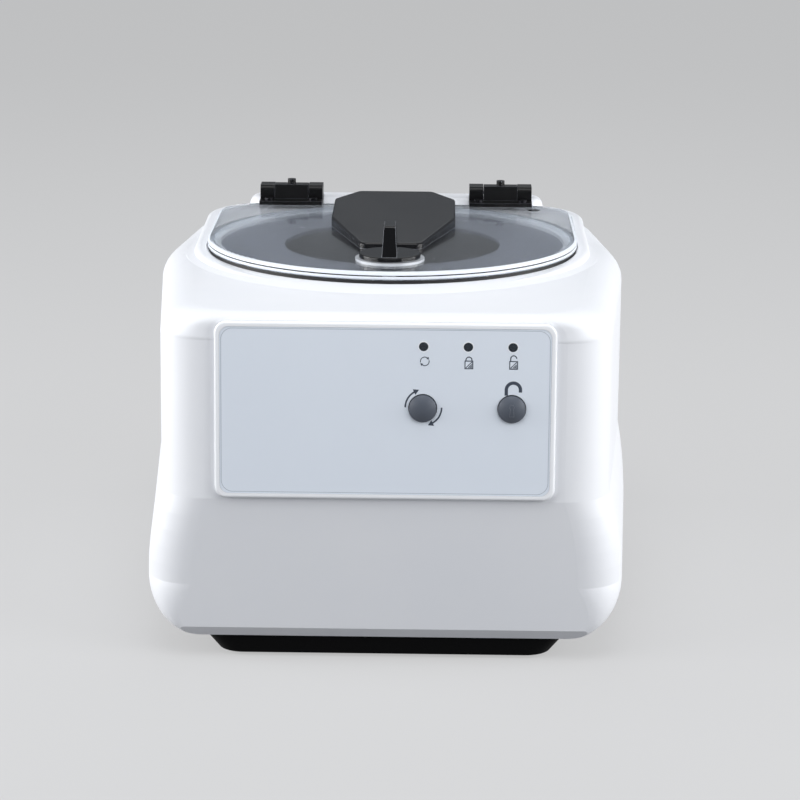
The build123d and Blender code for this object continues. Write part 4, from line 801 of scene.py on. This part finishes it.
def padlock(left_leg, right_leg):
    """The strokes of a padlock, with its body round the origin."""
    inner = lock_size / 2 - lock_line
    trim = lock_line / 2 * math.sqrt(0.5)
    found = [start_plane(lock_size)]
    bpy.ops.mesh.inset(thickness=lock_line)
    bpy.ops.mesh.delete(type="FACE")
    bpy.ops.object.mode_set(mode="OBJECT")
    for shift in hatch_shifts:
        low_end = (-inner + shift + trim, -inner + trim)
        found.append(bar(low_end, (inner - trim, inner - shift - trim), hatch_line))
    shackle_foot = (0, lock_size / 2 + left_leg)
    return found + shackle(shackle_foot, lock_shackle_half, lock_shackle_stroke, left_leg, right_leg)


sign_drop = Vector((0.7 * mm, -7.9 * mm))
sign_r = 2.35 * mm
sign_stroke = 0.45 * mm
sign_head = 0.95 * mm
lock_drop = Vector((0.4 * mm, -9.6 * mm))
running_arrows = turning_arrows(sign_r, sign_stroke, sign_head, head_at=44, tail_at=58, sweep=136)
lay("running_sign", running_arrows, lamps_at[0] + sign_drop, "dark_ink")
lock_legs = {"locked_sign": (0.35 * mm, 0.35 * mm), "unlocked_sign": (1.3 * mm, 0.0)}
for (name, legs), lamp in zip(lock_legs.items(), lamps_at[1:]):
    lay(name, padlock(*legs), lamp + lock_drop, "dark_ink")
print("padlocks:", len(lock_legs))

# %% [markdown]
# A thin pale ring is printed round each lamp. A fine grey line just inside the film's edge is painted shade
# for the narrow gap where the film meets the bezel's rim. The line is a plane whose corners are bevelled
# round and whose middle is inset and taken out.

# %% Lamp rings and painted edge shade
lens_r = 2.5 * mm
ring_gap = 0.1 * mm
ring_wide = 0.55 * mm
for number, spot in enumerate(lamps_at, 1):
    ring = arc((0, 0), lens_r + ring_gap + ring_wide / 2, ring_wide, 0, 360)
    lay(f"lamp_ring_{number}", [ring], spot, "pale_ink")
film_wide = (film_high - film_low).x
film_tall = (film_high - film_low).z / upward.z
edge_in = 0.7 * mm
edge_line = 0.35 * mm
edge_corner = 6.4 * mm
edge_high = 0.02 * mm
# The painted shade line along the film's edge.
outline = start_plane(1)
bpy.ops.transform.resize(value=(film_wide - 2 * edge_in, film_tall - 2 * edge_in, 1))
bpy.ops.mesh.bevel(offset=edge_corner, segments=10, affect="VERTICES")
bpy.ops.mesh.select_all(action="SELECT")
bpy.ops.mesh.inset(thickness=edge_line)
bpy.ops.mesh.delete(type="FACE")
bpy.ops.object.mode_set(mode="OBJECT")
lay("film_outline", [outline], (0, 0), "edge_shade_ink", high=edge_high)
print("film in mm:", round(film_wide / mm, 1), round(film_tall / mm, 1))

# %% [markdown]
# The two buttons are domed caps on a stem, with a flange behind the panel that keeps them in. On a lathe
# such a part is drawn as a profile, and it is built the same way here: a small disc at the crown is pushed
# down ring by ring, each with its own radius, until it ends as the tip of the stem. Pushing a face leaves a
# closed solid.

# %% Turned pieces
turned_sides = 72
smooth_below = math.radians(32)


def turned(profile):
    """A closed turned piece on the Z axis. The profile is radii and heights, from one end to the other."""
    radius, height = profile[0]
    bpy.ops.object.select_all(action="DESELECT")
    bpy.ops.mesh.primitive_circle_add(vertices=turned_sides, radius=radius, fill_type="NGON")
    bpy.ops.object.mode_set(mode="EDIT")
    bpy.ops.transform.translate(value=(0, 0, height))
    for next_radius, next_height in profile[1:]:
        bpy.ops.mesh.extrude_region_move(TRANSFORM_OT_translate={"value": (0, 0, next_height - height)})
        grow = next_radius / radius
        bpy.ops.transform.resize(value=(grow, grow, 1))
        radius, height = next_radius, next_height
    face_out()
    bpy.ops.object.shade_smooth_by_angle(angle=smooth_below)
    return bpy.context.object


# %% [markdown]
# The profile starts with the dome, which is part of a large ball, and goes on with a skirt, the flange and
# the stem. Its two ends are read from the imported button, so that the cap stands out as far as that does and
# still reaches its switch.

# %% Domed buttons
cap_r = 7.5 * mm
dome_high = 2.7 * mm
dome_rings = 12
skirt_round = 0.35 * mm
flange_r = 9.6 * mm
flange_thick = 1.4 * mm
stem_r = 1.9 * mm
stem_long = 4.5 * mm
depths = [(v.co - film_middle).dot(outward) for v in nodes["start_button"].data.vertices]
crown, tip = max(depths), min(depths)
dome_r = (cap_r ** 2 + dome_high ** 2) / (2 * dome_high)
steepest = math.asin((cap_r - skirt_round / 2) / dome_r)
cap_profile = []
for ring in range(1, dome_rings + 1):
    lean = steepest * ring / dome_rings
    cap_profile.append((dome_r * math.sin(lean), crown - dome_r * (1 - math.cos(lean))))
flange_back = tip + stem_long
cap_profile += [
    (cap_r, crown - dome_high - skirt_round),
    (cap_r, flange_back + flange_thick),
    (flange_r, flange_back + flange_thick),
    (flange_r, flange_back),
    (stem_r, flange_back),
    (stem_r, tip),
]
domed = {}
for node, spot in (("start_button", start_at), ("unlock_button", unlock_at)):
    cap = turned(cap_profile)
    onto_panel(cap, spot, 0)
    dress(cap, node + "_cap", "button_grey")
    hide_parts(node)
    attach(cap, node)
    domed[node] = cap
print("crown over the film in mm:", round(crown / mm, 2))

# %% [markdown]
# The unlock button carries a raised keyhole that one can feel with a finger: a ring that is open at the
# bottom, over a foot. It is drawn flat like a printed mark, with its long lines cut into short ones. A
# shrinkwrap then lays it on the dome and a solidify raises it.

# %% Raised keyhole
key_r = 1.3 * mm
key_line = 0.34 * mm
key_head = 1.9 * mm
key_foot = 3.6 * mm
key_foot_half = 1.3 * mm
key_open = 52
key_lift = 0.14 * mm
key_cuts = 3
strokes = [arc((0, key_head), key_r, key_line, -key_open, 180 + 2 * key_open)]
neck_wide = key_r * math.cos(math.radians(key_open))
neck_high = key_head - key_r * math.sin(math.radians(key_open))
for side in (-1, 1):
    strokes.append(bar((side * neck_wide, neck_high), (side * key_foot_half, -key_foot), key_line))
strokes.append(bar((-key_foot_half, -key_foot), (key_foot_half, -key_foot), key_line))
keyhole = joined(strokes)
bpy.ops.object.mode_set(mode="EDIT")
bpy.ops.mesh.select_all(action="SELECT")
bpy.ops.mesh.subdivide(number_cuts=key_cuts)
face_out()
onto_panel(keyhole, unlock_at, crown)
laid = keyhole.modifiers.new("laid", "SHRINKWRAP")
laid.target = domed["unlock_button"]
laid.offset = 0.0
bpy.ops.object.modifier_apply(modifier=laid.name)
raised = keyhole.modifiers.new("raised", "SOLIDIFY")
raised.thickness = 2 * key_lift
raised.offset = 0.0
bpy.ops.object.modifier_apply(modifier=raised.name)
dress(keyhole, "unlock_keyhole", "button_grey")
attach(keyhole, "unlock_button")
print("keyhole faces:", len(keyhole.data.polygons))

# %% [markdown]
# Two parts differ over their faces. The gasket is black sponge between pale films, so under the lid it is a
# black line from outside, while the rim looks bright through the lid. The steel chamber has a white
# enamelled rim, where it meets the cabinet. Both are masks on the distance from the chamber's axis, and the
# gasket's is joined by one that leaves out the upward faces.

# %% Gasket and chamber rim
mask_soft = 0.2 * mm
gasket_middle = 108.8 * mm
bowl_rim = 102.6 * mm
film_pale = seen(226, 231, 238)


def beyond(tree, radius):
    """A mask that is 1 further than a radius from the chamber's axis."""
    offset = on_vectors(tree, "SUBTRACT", object_place(tree), spin_axis)["Vector"]
    flat = on_vectors(tree, "MULTIPLY", offset, (1, 1, 0))["Vector"]
    away = on_vectors(tree, "LENGTH", flat)["Value"]
    return remap(tree, away, radius - mask_soft, radius + mask_soft)


tree, shader = start_finish("rim_gasket", Roughness=0.55)
pores = use_group(tree, moulded_skin, {"Grains per metre": 1100})
normal = add_node(tree, "NewGeometry").outputs["Normal"]
up = add_node(tree, "SeparateXYZ", {"Vector": normal}).outputs["Z"]
not_level = remap(tree, up, 0.5, 0.7, 1.0, 0.0)
black = compute(tree, "MULTIPLY", not_level, beyond(tree, gasket_middle))
sponge = mix_colour(tree, pores["Patch"], seen(12, 12, 13), seen(20, 20, 21))
feed_colour(tree, shader, black, film_pale, sponge)
feed_bump(tree, shader, pores["Grain"], 0.00015)

tree, shader = start_finish("bowl_steel")
cut = use_group(tree, turned_lines, {"Axis": spin_axis, "Lines per metre": 3800})
rim = beyond(tree, bowl_rim)
steel = mix_colour(tree, cut["Band"], seen(186, 188, 191), seen(168, 170, 174))
feed_colour(tree, shader, rim, steel, film_pale)
tree.links.new(compute(tree, "SUBTRACT", 1.0, rim), shader.inputs["Metallic"])
feed_roughness(tree, shader, cut["Line"], 0.22, 0.42)
feed_bump(tree, shader, cut["Line"], 0.00002)
print("finishes:", len(finishes))

# %% [markdown]
# The lid's edge catches bright highlights: a low band and the round at the top, with clear lid between them.
# They are painted as pale bands, which draw a bright line round the lid. Each band is the lid's own outline:
# a copy of its mesh is cut at two heights, the flat faces are taken out, and what is left gets a hair of
# thickness.

# %% Painted highlights on the lid edge
over_the_top = 9 * mm
edge_highlight_bands = {"lid_edge_highlight": (0.6 * mm, 2.2 * mm), "lid_round_highlight": (2.9 * mm, over_the_top)}
highlight_thick = 0.12 * mm
side_share = 0.985
front_r = 106 * mm
most_upward = 0.95
# The pale colour is a painted highlight.
tree, shader = start_finish("edge_highlight", Specular_IOR_Level=0.4)
skin = use_group(tree, moulded_skin, {"Grains per metre": 3400})
feed_colour(tree, shader, skin["Grain"], seen(236, 240, 246), seen(214, 220, 229))
feed_roughness(tree, shader, skin["Patch"], 0.4, 0.6)
feed_bump(tree, shader, skin["Grain"], 0.00003)
lid_low, lid_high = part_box("lid_panel")


def near_outline(face):
    """True for a face on the lid's outline, and not in one of its holes or flat."""
    spot = face.center
    at_side = abs(spot.x) > lid_high.x * side_share
    at_front = (spot - Vector((0, spin_axis.y, spot.z))).length > front_r
    return (at_side or at_front) and abs(face.normal.z) < most_upward


def highlight_band(name, low, high):
    """A thin pale band on the lid's outline, between two heights over its lower face, that paints a highlight."""
    bpy.ops.object.select_all(action="DESELECT")
    bpy.ops.mesh.primitive_plane_add(size=mm)
    band = bpy.context.object
    band.data = nodes["lid_panel"].data.copy()
    bpy.ops.object.mode_set(mode="EDIT")
    bpy.ops.mesh.select_all(action="SELECT")
    bpy.ops.mesh.customdata_custom_splitnormals_clear()
    bpy.ops.mesh.remove_doubles(threshold=mm / 500)
    for height, side in ((low, {"clear_inner": True}), (high, {"clear_outer": True})):
        bpy.ops.mesh.select_all(action="SELECT")
        bpy.ops.mesh.bisect(plane_co=(0, 0, lid_low.z + height), plane_no=(0, 0, 1), **side)
    bpy.ops.object.mode_set(mode="OBJECT")
    for face in band.data.polygons:
        face.select = not near_outline(face)
    bpy.ops.object.mode_set(mode="EDIT")
    bpy.ops.mesh.select_mode(type="FACE")
    bpy.ops.mesh.delete(type="FACE")
    bpy.ops.mesh.select_mode(type="VERT")
    bpy.ops.object.mode_set(mode="OBJECT")
    skin = band.modifiers.new("skin", "SOLIDIFY")
    skin.thickness = highlight_thick
    skin.offset = 1.0
    bpy.ops.object.modifier_apply(modifier=skin.name)
    dress(band, name, "edge_highlight")
    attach(band, "lid")
    return len(band.data.polygons)


for name, (low, high) in edge_highlight_bands.items():
    print(name, "faces:", highlight_band(name, low, high))

# %% [markdown]
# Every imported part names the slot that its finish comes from, so the finishes are handed out by that name.
# Only the gasket differs from its slot, because the chamber's seal shares it.

# %% Hand out the finishes
for part in frame["record"]["subparts"]:
    for slot in nodes[part["node"]].material_slots:
        slot.material = finishes[part["material_slot"]]
nodes["rim_gasket"].material_slots[0].material = finishes["rim_gasket"]
